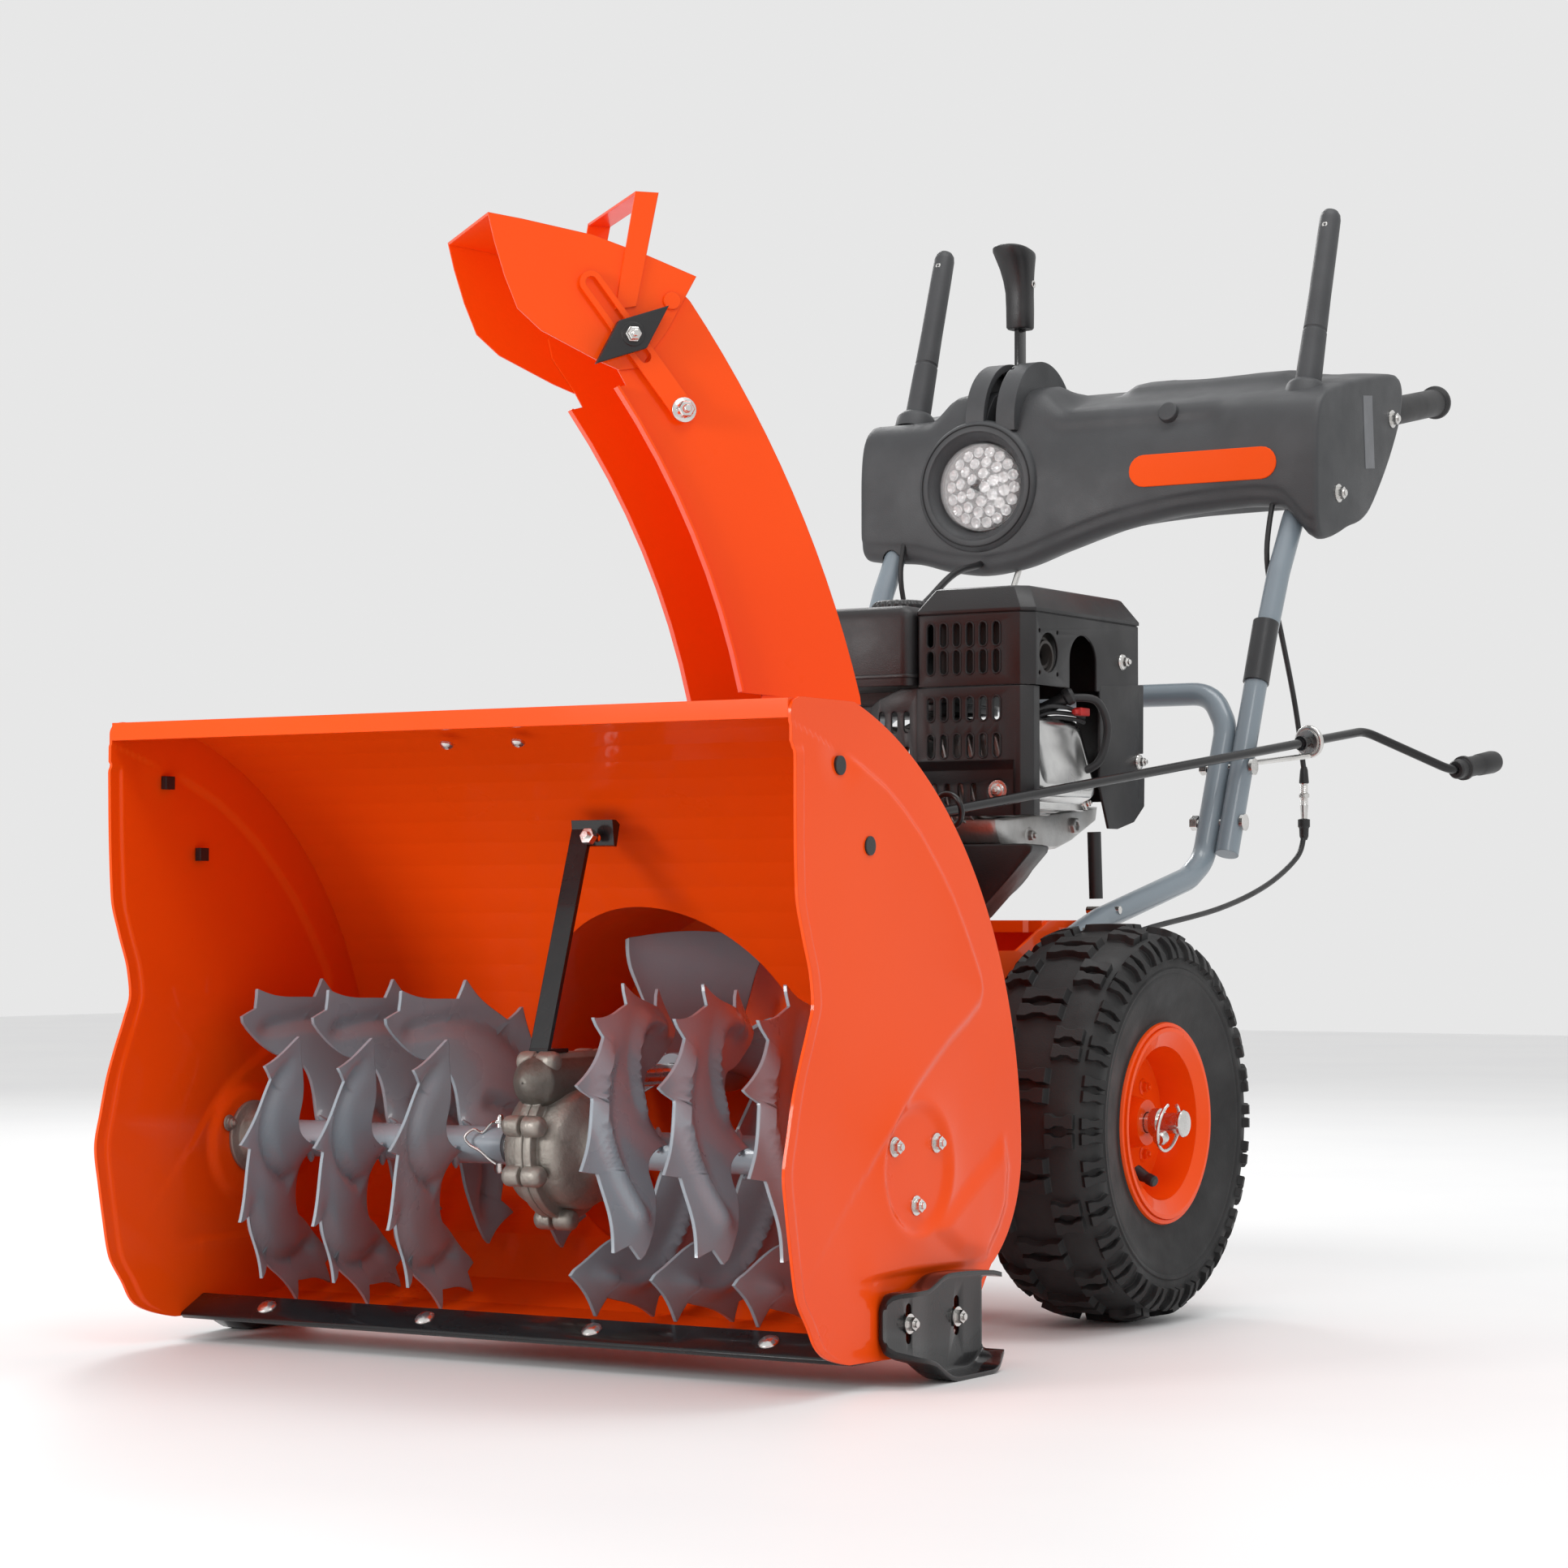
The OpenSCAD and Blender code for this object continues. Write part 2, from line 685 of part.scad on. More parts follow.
module shift_quadrant() {
    color(dark) placed() difference() {
        x_cyl(shift_x - 32, shift_x + 32, shift_y, shift_z, 75);
        x_cyl(shift_x - 8, shift_x + 8, shift_y, shift_z, 90);
        x_cyl(shift_x - 27, shift_x + 27, shift_y, shift_z, 67);
        box([-260, 0], [1180, 1400], [860, 950]);
        for (a = [-32 : 10.5 : 32]) translate([shift_x + 8, shift_y, shift_z]) rotate([a, 0, 0])
            translate([-1, -2.5, 66]) cube([6, 5, 12]);
    }
}

module shift_lever() {
    color(black) placed() {
        difference() {
            union() {
                x_cyl(shift_x - 5, shift_x + 5, shift_y, shift_z, 14);
                box([shift_x - 3, shift_x + 3], [shift_y - 9, shift_y + 9], [shift_z, 1060]);
                translate([shift_x, shift_y, 1042]) cylinder(h = 56, r1 = 15, r2 = 18);
                translate([shift_x, shift_y - 6, 1130]) resize([54, 46, 80]) sphere(r = 20, $fn = 32);
            }
            x_cyl(shift_x - 20, shift_x + 20, shift_y, shift_z, 6 + fit);
        }
    }
}

module shift_rod() {
    color(steel) placed() {
        x_cyl(shift_x - 26.9, shift_x + 26.9, shift_y, shift_z, 6);
        bent_rod([[-92, 1292, 905], [-91, 1272, 852], [-90, 1231, 794], [-124, 1190, 640],
            [-126, 1010, 400], [-124, 903, 340]], 3.5);
        box([-100, -90], [1276, 1304], [884, 955]);
    }
}

module clutch_lever() {
    difference() {
        union() {
            rod([grip_x, 1262, 945], [grip_x, 1340, 1180], 13);
            x_cyl(grip_x - 14, grip_x + 14, 1262, 945, 15);
            translate([grip_x, 1340, 1180]) sphere(13.5);
        }
        x_cyl(grip_x - 20, grip_x + 20, 1262, 945, 5 + fit);
    }
}

module clutch_lever_left() { color(black) placed() clutch_lever(); }
module clutch_lever_right() { color(black) placed() mirror([1, 0, 0]) clutch_lever(); }

// ---- chute and deflector -------------------------------------------------

// the chute's own frame: X across the channel, -Y the way it throws
module chute_frame() {
    placed() translate([chute_x, chute_y, 0]) rotate([0, 0, -chute_angle]) children();
}

channel_w = chute_w / 2;
chute_out = channel_w + chute_t;
spout_c = [-964, 338];
spout_r = 1072;
edge_c = [-787, 439];
edge_r = 762;
tilt_p = [-108, 956];
link_p = [-98, 855];
knob_p = [-149, 921];

module chute() {
    color(orange) chute_frame() {
        difference() {
            union() {
                translate([0, 0, 453]) cylinder(h = 147, r = chute_out);
                along_x(-chute_out, chute_out) polygon(concat(front_edge(),
                    [[-150, 877], [-158, 891], [-180, 922], [-184, 940], [-175, 957], [-150, 966],
                     [-98, 966]], turned(arc(spout_c, spout_r, 13.9, 35.3, 14)), [[77.5, 588]]));
                pair() along_x(channel_w, 88) polygon(concat(front_edge(), turned(front_edge(chute_t))));
            }
            translate([0, 0, 452]) cylinder(h = 149, r = channel_w);
            box([-100, 100], [-100, -42], [582, 598]);
            along_x(-channel_w, channel_w) polygon(concat([[-400, 586], [77.5 - chute_t, 586]],
                arc(spout_c, spout_r - chute_t, 13.9, 35.6, 14), [[-94, 1100], [-400, 1100]]));
        }
        pair() {
            x_cyl(channel_w, 84.3, tilt_p[0], tilt_p[1], 4);
            x_cyl(81.6, 84.3, tilt_p[0], tilt_p[1], 8);
        }
        x_cyl(chute_out - 1, 84.1, link_p[0], link_p[1], 9);
        x_cyl(80, 98, link_p[0], link_p[1], 4);
        translate([87.6, link_p[0], link_p[1]]) rotate([0, 90, 0]) cylinder(h = 7, r = 8, $fn = 6);
    }
}

// front edge of the channel from its foot up to the notch, d behind the edge
function front_edge(d = 0) = arc(edge_c, edge_r + d, 12, 34.8, 8);

mesh_r = 105;
ring_z = 470;
rod_yaw = 9.1;
mesh_p = [chute_x + mesh_r * cos(rod_yaw), chute_y - mesh_r * sin(rod_yaw), ring_z];
eye_p = [287, 1190, 582];
rod_dir = unit(eye_p - mesh_p);
crank_lead = 2 * PI * 92 / 12;
// the crank arm leans outwards and down, square to the rod
crank_lean = [0.77, -0.09, -0.64];
crank_side = unit(crank_lean - (crank_lean * rod_dir) * rod_dir);
crank_end = eye_p + 182 * rod_dir + 84 * crank_side;

module along_rod(p) {
    translate(p) rotate([0, acos(rod_dir[2]), atan2(rod_dir[1], rod_dir[0])]) children();
}

module chute_ring() {
    color(black) placed() translate([chute_x, chute_y, ring_z - 6]) linear_extrude(12) difference() {
        union() {
            circle(r = 87);
            for (i = [0 : 23]) rotate(-rod_yaw + 7.5 + 15 * i) translate([80, -3.5]) square([17, 7]);
        }
        circle(r = chute_out);
    }
}

module crank_rod() {
    color(black) placed() {
        bent_rod([mesh_p - 62 * rod_dir, eye_p + 112 * rod_dir, crank_end, crank_end + 98 * rod_dir], 5);
        along_rod(mesh_p - 0.75 * crank_lead * rod_dir)
            linear_extrude(1.5 * crank_lead, twist = -540, slices = 40, segments = 8)
                polygon([[-16, -4.4], [0, -3], [16, -4.4], [16, 4.4], [0, 3], [-16, 4.4]]);
        along_rod(eye_p - 18 * rod_dir) cylinder(h = 4, r = 8);
        along_rod(crank_end + 96 * rod_dir) cylinder(h = 4, r = 7);
    }
}

module crank_grip() {
    color(black) placed() difference() {
        union() {
            along_rod(crank_end + 8 * rod_dir) cylinder(h = 86, r = 12);
            along_rod(crank_end + 48 * rod_dir) cylinder(h = 5, r = 15);
        }
        along_rod(crank_end) cylinder(h = 120, r = 5 + fit);
    }
}

module eye_bolt() {
    color(steel) placed() {
        difference() {
            union() {
                along_rod(eye_p) rotate_extrude() translate([15, 0]) circle(r = 3);
                along_rod(eye_p - 4 * rod_dir) cylinder(h = 8, r = 13);
            }
            along_rod(eye_p - 10 * rod_dir) cylinder(h = 20, r = 5 + fit);
        }
        rod([grip_x + 8, on_bar(556) + 2, 556], eye_p - [0, 1, 15.5], 3);
    }
}

module crank_bracket() {
    color(black) placed() {
        along_rod(mesh_p + 160 * rod_dir) rotate_extrude() translate([16, 0]) circle(r = 3);
        box([144, 172], [570, 575.9], [488, 498]);
        difference() {
            union() {
                along_rod(mesh_p - 56 * rod_dir) cylinder(h = 8, r = 11);
                box([112, 150], [352, 362], [450, 458]);
                box([118, 128], [352, 384], [450, 458]);
            }
            along_rod(mesh_p - 70 * rod_dir) cylinder(h = 30, r = 5 + fit);
            translate([chute_x, chute_y, 440]) cylinder(h = 30, r = channel_w + 20);
        }
    }
}

module deflector() {
    outline = [[-84, 980], [-131, 997], [-183, 1013], [-250, 1024], [-281, 1028], [-275, 1003],
        [-265, 971], [-253, 942], [-231, 923], [-178, 898], [-157, 890], [-138, 893], [-112, 928]];
    side_in = chute_out + 0.8;
    side_out = side_in + chute_t;
    color(orange) chute_frame() difference() {
        union() {
            difference() {
                along_x(-side_out, side_out) polygon(outline);
                along_x(-side_in, side_in) translate([0, -chute_t]) polygon(concat(
                    [[-60, 971], [-84, 980], [-131, 997], [-183, 1013], [-250, 1024], [-300, 1031]],
                    [[-300, 800], [-60, 800]]));
            }
            pair() along_x(side_out, side_out + chute_t)
                polygon([[-162, 945], [-142, 949], [-121, 1055], [-143, 1055]]);
            along_x(-side_out, side_out)
                polygon([[-143, 1052.5], [-121.5, 1052.5], [-121, 1055], [-143, 1055]]);
            x_cyl(side_in, 101, knob_p[0], knob_p[1], 2.6);
        }
        pair() x_cyl(77, 83, tilt_p[0], tilt_p[1], 4 + fit);
    }
}

module deflector_link() {
    color(orange) chute_frame() along_x(84.7, 87.2) translate(link_p) rotate(atan2(66, -51)) difference() {
        union() {
            circle(r = 11);
            translate([0, -11]) square([143, 22]);
            translate([143, 0]) circle(r = 11);
        }
        circle(r = 4 + fit);
        translate([60, 0]) circle(r = 5.6);
        translate([60, -5.6]) square([83, 11.2]);
        translate([143, 0]) circle(r = 5.6);
    }
}

module wing_knob() {
    color(black) chute_frame() difference() {
        union() {
            along_x(88, 97) polygon([[-115, 949], [-136, 909], [-183, 893], [-162, 933]]);
            x_cyl(87.5, 98, knob_p[0], knob_p[1], 11);
        }
        x_cyl(80, 105, knob_p[0], knob_p[1], 2.6 + fit);
    }
}

// ---- wheels --------------------------------------------------------------

module axle() { color(steel) placed() x_cyl(-364, 364, axle_y, wheel_r, 9.5); }

module wheel_rims() {
    color(orange) placed() pair() translate([0, axle_y, wheel_r]) rotate([0, 90, 0]) difference() {
        rotate_extrude() polygon([[9.5, 214], [22, 214], [22, 292], [68, 298], [74, 262], [74, 236],
            [90, 230], [92, 232], [77, 240], [77, 264], [77, 340], [92, 347], [92, 350], [88, 350],
            [74, 343], [72, 302], [22, 297], [22, 322], [9.5, 322]]);
        translate([-60, 0, 270]) cylinder(h = 50, r = 4);
    }
}

module tyres() {
    h = tyre_w / 2;
    color(black) placed() pair() translate([track_half, axle_y, wheel_r]) rotate([0, 90, 0])
        rotate_extrude() difference() {
            polygon([[93, 54], [104, 60], [130, h], [152, h], [172, h - 4], [184, h - 12],
                [wheel_r, h - 20], [wheel_r, 20 - h], [184, 12 - h], [172, 4 - h], [152, -h], [130, -h],
                [104, -60], [93, -54], [78, -50], [78, 50]]);
            polygon([[77, 42], [98, 44], [132, h - 12], [154, h - 13], [172, h - 26],
                [172, 26 - h], [154, 13 - h], [132, 12 - h], [98, -44], [77, -42]]);
        }
}

module axle_pins() {
    color(steel) placed() pair() {
        translate([352, axle_y, wheel_r - 16]) cylinder(h = 32, r = 3);
        translate([352, axle_y, wheel_r]) rotate([0, 90, 0]) rotate_extrude()
            translate([17, 0]) circle(r = 1.6);
    }
}

// ---- cables --------------------------------------------------------------

module control_cables() {
    near = [[232, 1246, 900], [232, 1212, 830], [232, 1205, 775], [232, 1240, 706], [232, 1277, 627],
        [232, 1300, 556]];
    low = [[232, 1299, 483], [232, 1279, 458], [232, 1196, 426], [232, 1072, 400], [230, 897, 378],
        [218, 866, 362], [190.2, 850, 350]];
    loom = [[-132, 1266, 880], [-132, 1285, 856], [-131, 1232, 806], [-130, 1150, 783],
        [-128, 1080, 745], [-122, 1000, 706], [-118, 948.2, 680]];
    color(black) placed() {
        pair() {
            cord(near, 3, 8, 3);
            cord(low, 3, 8, 3);
            rod([232, 1300, 560], [232, 1299, 540], 6);
            rod([232, 1300, 545], [232, 1299, 496], 4.5);
            rod([232, 1299, 500], [232, 1299, 478], 7);
        }
        cord(loom, 4, 8, 3);
    }
}

bucket_shell();
side_plate_left();
side_plate_right();
scraper_bar();
skid_shoes();
housing_bolts();
plate_plugs();
auger_bearings();
brace_strap();
impeller_drum();
gearbox_left();
gearbox_right();
main_frame();
belt_cover();
engine_block();
valve_cover();
muffler();
muffler_guard();
engine_shroud();
airbox_cover();
fuel_tank();
recoil_housing();
side_panel();
spark_lead();
drain_hose();
lower_handle();
upper_handles();
handle_bolts();
console();
head_lamp();
handle_grips();
shift_quadrant();
crank_bracket();
eye_bolt();
control_cables();
shift_rod();
impeller_belt();
fuel_cap();
recoil_grip();
clutch_lever_left();
clutch_lever_right();
shift_lever();
chute();
chute_ring();
deflector();
deflector_link();
wing_knob();
crank_rod();
crank_grip();
auger_shaft();
auger_left();
auger_right();
worm_wheel();
impeller();
impeller_shaft();
engine_pulley();
axle();
wheel_rims();
tyres();
axle_pins();
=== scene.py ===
import json
from math import cos, exp, hypot, pi, radians, sin, sqrt, tan

import bmesh
import bpy
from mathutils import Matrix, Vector


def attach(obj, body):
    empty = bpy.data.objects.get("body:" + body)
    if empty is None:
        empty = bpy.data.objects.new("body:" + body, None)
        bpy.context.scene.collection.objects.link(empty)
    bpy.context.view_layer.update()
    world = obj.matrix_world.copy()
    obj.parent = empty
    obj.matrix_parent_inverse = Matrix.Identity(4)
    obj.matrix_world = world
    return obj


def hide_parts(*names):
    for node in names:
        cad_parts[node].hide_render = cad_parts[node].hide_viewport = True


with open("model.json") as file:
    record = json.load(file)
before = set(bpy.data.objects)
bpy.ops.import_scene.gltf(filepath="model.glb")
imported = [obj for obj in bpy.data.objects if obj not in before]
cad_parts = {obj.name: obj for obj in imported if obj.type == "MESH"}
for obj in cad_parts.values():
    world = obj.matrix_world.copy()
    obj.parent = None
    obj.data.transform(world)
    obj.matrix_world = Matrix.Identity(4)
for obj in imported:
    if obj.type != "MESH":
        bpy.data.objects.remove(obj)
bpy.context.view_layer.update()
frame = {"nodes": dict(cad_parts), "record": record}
NODES = frame["nodes"]

# Lengths below are millimetres, as in part.scad, with Y counted from the intake mouth. at() turns
# them into metres in the row frame, whose origin is under the middle of the machine.
MID_Y = 820.0


def at(x, y, z):
    return Vector((x, y - MID_Y, z)) * 0.001


# ---- materials ---------------------------------------------------------------------------------

GLOSS_IOR = 1.5
NOISE_ROUGHNESS = 0.55


class Shader:
    """A node material with a few shorthands for procedural detail in object coordinates."""

    def __init__(self, name, colour, rough, metal=0.0, coat=0.0, coat_rough=0.05, bevel=0.0012):
        self.mat = bpy.data.materials.new(name)
        self.mat.use_nodes = True
        self.tree = self.mat.node_tree
        self.tree.nodes.clear()
        self.out = self.tree.nodes.new("ShaderNodeOutputMaterial")
        self.bsdf = self.tree.nodes.new("ShaderNodeBsdfPrincipled")
        self.tree.links.new(self.bsdf.outputs[0], self.out.inputs[0])
        self.coords = self.tree.nodes.new("ShaderNodeTexCoord")
        self.colour = (*colour, 1.0)
        self.bsdf.inputs["Base Color"].default_value = self.colour
        self.bsdf.inputs["Roughness"].default_value = rough
        self.bsdf.inputs["Metallic"].default_value = metal
        self.bsdf.inputs["Coat Weight"].default_value = coat
        self.bsdf.inputs["Coat Roughness"].default_value = coat_rough
        self.bsdf.inputs["IOR"].default_value = GLOSS_IOR
        self.normal = None
        if bevel:
            node = self.tree.nodes.new("ShaderNodeBevel")
            node.samples = 6
            node.inputs["Radius"].default_value = bevel
            self.normal = node.outputs[0]
            self.tree.links.new(self.normal, self.bsdf.inputs["Normal"])

    def link(self, a, b):
        self.tree.links.new(a, b)

    def noise(self, scale, detail=3.0):
        node = self.tree.nodes.new("ShaderNodeTexNoise")
        node.inputs["Scale"].default_value = scale
        node.inputs["Detail"].default_value = detail
        node.inputs["Roughness"].default_value = NOISE_ROUGHNESS
        self.link(self.coords.outputs["Object"], node.inputs["Vector"])
        return node.outputs[0]

    def cells(self, scale):
        node = self.tree.nodes.new("ShaderNodeTexVoronoi")
        node.inputs["Scale"].default_value = scale
        self.link(self.coords.outputs["Object"], node.inputs["Vector"])
        return node.outputs["Distance"]

    def spread(self, value, lo, hi, to_lo, to_hi):
        node = self.tree.nodes.new("ShaderNodeMapRange")
        for key, number in zip(("From Min", "From Max", "To Min", "To Max"), (lo, hi, to_lo, to_hi)):
            node.inputs[key].default_value = number
        self.link(value, node.inputs["Value"])
        return node.outputs[0]

    def tint(self, value, other, lo=0.35, hi=0.65, amount=1.0):
        """Blends the base colour towards another colour where value is high."""
        node = self.tree.nodes.new("ShaderNodeMix")
        node.data_type = "RGBA"
        node.inputs["B"].default_value = (*other, 1.0)
        source = self.bsdf.inputs["Base Color"]
        if source.is_linked:
            self.link(source.links[0].from_socket, node.inputs["A"])
        else:
            node.inputs["A"].default_value = self.colour
        self.link(self.spread(value, lo, hi, 0.0, amount), node.inputs["Factor"])
        self.link(node.outputs["Result"], source)
        return self

    def roughen(self, value, lo, hi, span=(0.3, 0.7)):
        self.link(self.spread(value, span[0], span[1], lo, hi), self.bsdf.inputs["Roughness"])
        return self

    def bump(self, value, depth, strength=1.0):
        node = self.tree.nodes.new("ShaderNodeBump")
        node.inputs["Distance"].default_value = depth
        node.inputs["Strength"].default_value = strength
        self.link(value, node.inputs["Height"])
        if self.normal:
            self.link(self.normal, node.inputs["Normal"])
        self.normal = node.outputs[0]
        self.link(self.normal, self.bsdf.inputs["Normal"])
        return self


def painted(name, colour, shade, rough=0.32, coat=0.7, grime=0.25, gloss=0.5):
    """Gloss or satin paint on sheet metal: orange peel, faint waves and soft patches of another shade."""
    s = Shader(name, colour, rough, coat=coat, coat_rough=0.07)
    s.bsdf.inputs["Specular IOR Level"].default_value = gloss
    s.tint(s.noise(3.0, 2.0), shade, 0.35, 0.75, grime)
    s.roughen(s.noise(9.0, 5.0), rough - 0.06, rough + 0.10)
    s.bump(s.noise(420.0, 2.0), 0.00016, 0.5)
    s.bump(s.noise(38.0, 1.0), 0.0004, 0.25)
    return s.mat


def moulded(name, colour, rough=0.5, grain=900.0, depth=0.00022, bevel=0.0016):
    """Injection-moulded plastic with a fine grain, soft lighter patches and uneven gloss."""
    s = Shader(name, colour, rough, bevel=bevel)
    lighter = tuple(min(1.0, c * 1.7 + 0.006) for c in colour)
    s.tint(s.noise(14.0, 4.0), lighter, 0.45, 0.8, 0.45)
    s.roughen(s.noise(22.0, 3.0), rough - 0.08, rough + 0.08)
    s.bump(s.noise(grain, 2.0), depth, 0.8)
    return s.mat


def metal(name, colour, rough, scale=60.0, depth=0.00008, spots=None):
    """Bare or plated metal: fine marks, uneven gloss and patches of another shade."""
    s = Shader(name, colour, rough, metal=1.0, bevel=0.0006)
    s.roughen(s.noise(scale, 4.0), rough * 0.65, rough * 1.5)
    s.tint(s.noise(25.0, 3.0), spots or tuple(c * 0.72 for c in colour), 0.42, 0.75, 0.7)
    s.bump(s.noise(scale * 4, 3.0), depth, 0.6)
    return s.mat


def make_materials():
    m = {}
    m["orange_paint"] = painted("orange_paint", (0.92, 0.082, 0.003), (0.80, 0.058, 0.002), rough=0.32,
        coat=0.36, grime=0.5, gloss=0.06)
    m["slate_paint"] = painted("slate_paint", (0.29, 0.335, 0.375), (0.23, 0.265, 0.30), rough=0.30,
        coat=0.6, grime=0.7)
    m["tube_paint"] = painted("tube_paint", (0.20, 0.245, 0.28), (0.15, 0.185, 0.215), rough=0.34,
        coat=0.4, grime=0.5)
    m["black_paint"] = painted("black_paint", (0.006, 0.006, 0.007), (0.013, 0.013, 0.013), rough=0.24,
        coat=0.4, grime=0.6, gloss=0.25)
    m["black_plastic"] = moulded("black_plastic", (0.012, 0.012, 0.013), rough=0.42)
    m["dark_plastic"] = moulded("dark_plastic", (0.040, 0.042, 0.045), rough=0.52, grain=700.0,
        depth=0.0003)
    m["bright_steel"] = metal("bright_steel", (0.72, 0.71, 0.69), 0.24)
    cast = Shader("cast_metal", (0.29, 0.265, 0.235), 0.48, metal=0.6, bevel=0.002)
    cast.tint(cast.noise(16.0, 5.0), (0.42, 0.385, 0.345), 0.4, 0.75, 0.8)
    cast.tint(cast.noise(55.0, 4.0), (0.13, 0.11, 0.09), 0.55, 0.8, 0.7)
    cast.roughen(cast.noise(40.0, 4.0), 0.36, 0.66)
    cast.bump(cast.noise(260.0, 5.0), 0.0007, 0.8).bump(cast.cells(170.0), 0.0004, 0.4)
    m["cast_metal"] = cast.mat
    alloy = Shader("engine_alloy", (0.55, 0.55, 0.54), 0.42, metal=0.9, bevel=0.0015)
    alloy.tint(alloy.noise(20.0, 5.0), (0.30, 0.29, 0.28), 0.45, 0.75, 0.8)
    alloy.roughen(alloy.noise(30.0, 4.0), 0.3, 0.6)
    alloy.bump(alloy.noise(320.0, 4.0), 0.0004, 0.8)
    m["engine_alloy"] = alloy.mat
    m["bronze"] = metal("bronze", (0.62, 0.40, 0.18), 0.3)
    tyre = Shader("tyre_rubber", (0.009, 0.009, 0.0095), 0.6, bevel=0.0012)
    tyre.tint(tyre.noise(11.0, 5.0), (0.022, 0.0215, 0.021), 0.45, 0.8, 0.8)
    tyre.roughen(tyre.noise(18.0, 4.0), 0.5, 0.78)
    tyre.bump(tyre.noise(520.0, 3.0), 0.0003, 0.6)
    m["tyre_rubber"] = tyre.mat
    m["soft_rubber"] = moulded("soft_rubber", (0.014, 0.014, 0.015), rough=0.46, grain=1200.0,
        depth=0.00012, bevel=0.0008)
    lens = Shader("lens", (1.0, 1.0, 1.0), 0.03, bevel=0.0)
    lens.bsdf.inputs["Alpha"].default_value = 0.14
    lens.bump(lens.cells(160.0), 0.0008, 0.35)
    m["lens"] = lens.mat
    mirror = Shader("mirror", (0.95, 0.95, 0.95), 0.2, metal=0.25, bevel=0.0)
    # Painted shade: the tint darkens the reflector towards grey at the borders of its bump cells, between
    # the facets.
    mirror.tint(mirror.cells(190.0), (0.55, 0.56, 0.57), 0.3, 0.65, 0.7)
    mirror.bump(mirror.cells(190.0), 0.0016, 0.9)
    m["mirror"] = mirror.mat
    m["pressed_steel"] = metal("pressed_steel", (0.66, 0.66, 0.65), 0.2, scale=14.0, depth=0.00003,
        spots=(0.5, 0.5, 0.5))
    m["hot_black"] = painted("hot_black", (0.02, 0.019, 0.018), (0.045, 0.035, 0.03), rough=0.55,
        coat=0.0, grime=0.7)
    # Near-black for the groove round the lamp: painted shade in that recess of the console moulding.
    m["inner_black"] = moulded("inner_black", (0.006, 0.006, 0.007), rough=0.7)
    m["decal_dark"] = moulded("decal_dark", (0.022, 0.023, 0.025), rough=0.35)
    m["decal_grey"] = moulded("decal_grey", (0.12, 0.125, 0.135), rough=0.4)
    m["badge_orange"] = painted("badge_orange", (0.90, 0.085, 0.006), (0.84, 0.07, 0.005), rough=0.45,
        coat=0.0, grime=0.3, gloss=0.08)
    m["boot_red"] = moulded("boot_red", (0.42, 0.012, 0.01), rough=0.45)
    return m


MAT = make_materials()

# ---- mesh helpers ------------------------------------------------------------------------------


def smooth_by_angle(mesh, degrees=32.0):
    mesh.polygons.foreach_set("use_smooth", [True] * len(mesh.polygons))
    mesh.set_sharp_from_angle(angle=radians(degrees))


def piece(name, bm, material, body="machine", replaces=(), angle=32.0, bevel=0.0):
    """Turns a bmesh in metres into a finished piece that rides on a body. bevel is in millimetres."""
    bmesh.ops.remove_doubles(bm, verts=bm.verts, dist=1e-6)
    bmesh.ops.recalc_face_normals(bm, faces=bm.faces)
    mesh = bpy.data.meshes.new(name)
    bm.to_mesh(mesh)
    bm.free()
    obj = bpy.data.objects.new(name, mesh)
    bpy.context.scene.collection.objects.link(obj)
    if bevel:
        mod = obj.modifiers.new("edges", "BEVEL")
        mod.width = bevel * 0.001
        mod.segments = 2
        mod.limit_method = "ANGLE"
        mod.angle_limit = radians(30)
        apply_modifiers(obj)
    smooth_by_angle(obj.data, angle)
    obj.data.materials.append(MAT[material])
    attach(obj, body)
    if replaces:
        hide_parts(*replaces)
    return obj


def apply_modifiers(obj):
    """Swaps the mesh for its evaluated copy."""
    graph = bpy.context.evaluated_depsgraph_get()
    mesh = bpy.data.meshes.new_from_object(obj.evaluated_get(graph))
    old = obj.data
    obj.modifiers.clear()
    obj.data = mesh
    bpy.data.meshes.remove(old)


def new():
    return bmesh.new()


def loft(bm, rings, closed=True, caps=True):
    """Skins a list of rings of points; each ring has the same number of points."""
    made = [[bm.verts.new(p) for p in ring] for ring in rings]
    count = len(made[0])
    for a, b in zip(made, made[1:]):
        for i in range(count if closed else count - 1):
            j = (i + 1) % count
            bm.faces.new((a[i], a[j], b[j], b[i]))
    if caps and closed:
        bm.faces.new(list(reversed(made[0])))
        bm.faces.new(made[-1])
    return made


def round_angles(steps, count=None):
    """Evenly spaced angles round a circle: count of them, or one for each step."""
    return [2 * pi * k / steps for k in range(count or steps)]


def frame_of(direction):
    """Three square unit vectors, the last along direction."""
    w = direction.normalized()
    side = Vector((1, 0, 0)) if abs(w.x) < 0.9 else Vector((0, 1, 0))
    u = (side - side.dot(w) * w).normalized()
    return u, w.cross(u), w


def fillet(points, radius, steps=7):
    """Rounds each inner corner of a polyline to about that radius, or as much as fits."""
    path = [points[0]]
    for a, b, c in zip(points, points[1:], points[2:]):
        d1, d2 = (a - b), (c - b)
        angle = d1.angle(d2)
        if angle > pi - 0.02:
            path.append(b)
            continue
        cut = min(radius / tan(angle / 2), 0.49 * d1.length, 0.49 * d2.length)
        p, q = b + d1.normalized() * cut, b + d2.normalized() * cut
        for k in range(steps + 1):
            t = k / steps
            path.append(p.lerp(b, t).lerp(b.lerp(q, t), t))
    path.append(points[-1])
    return path


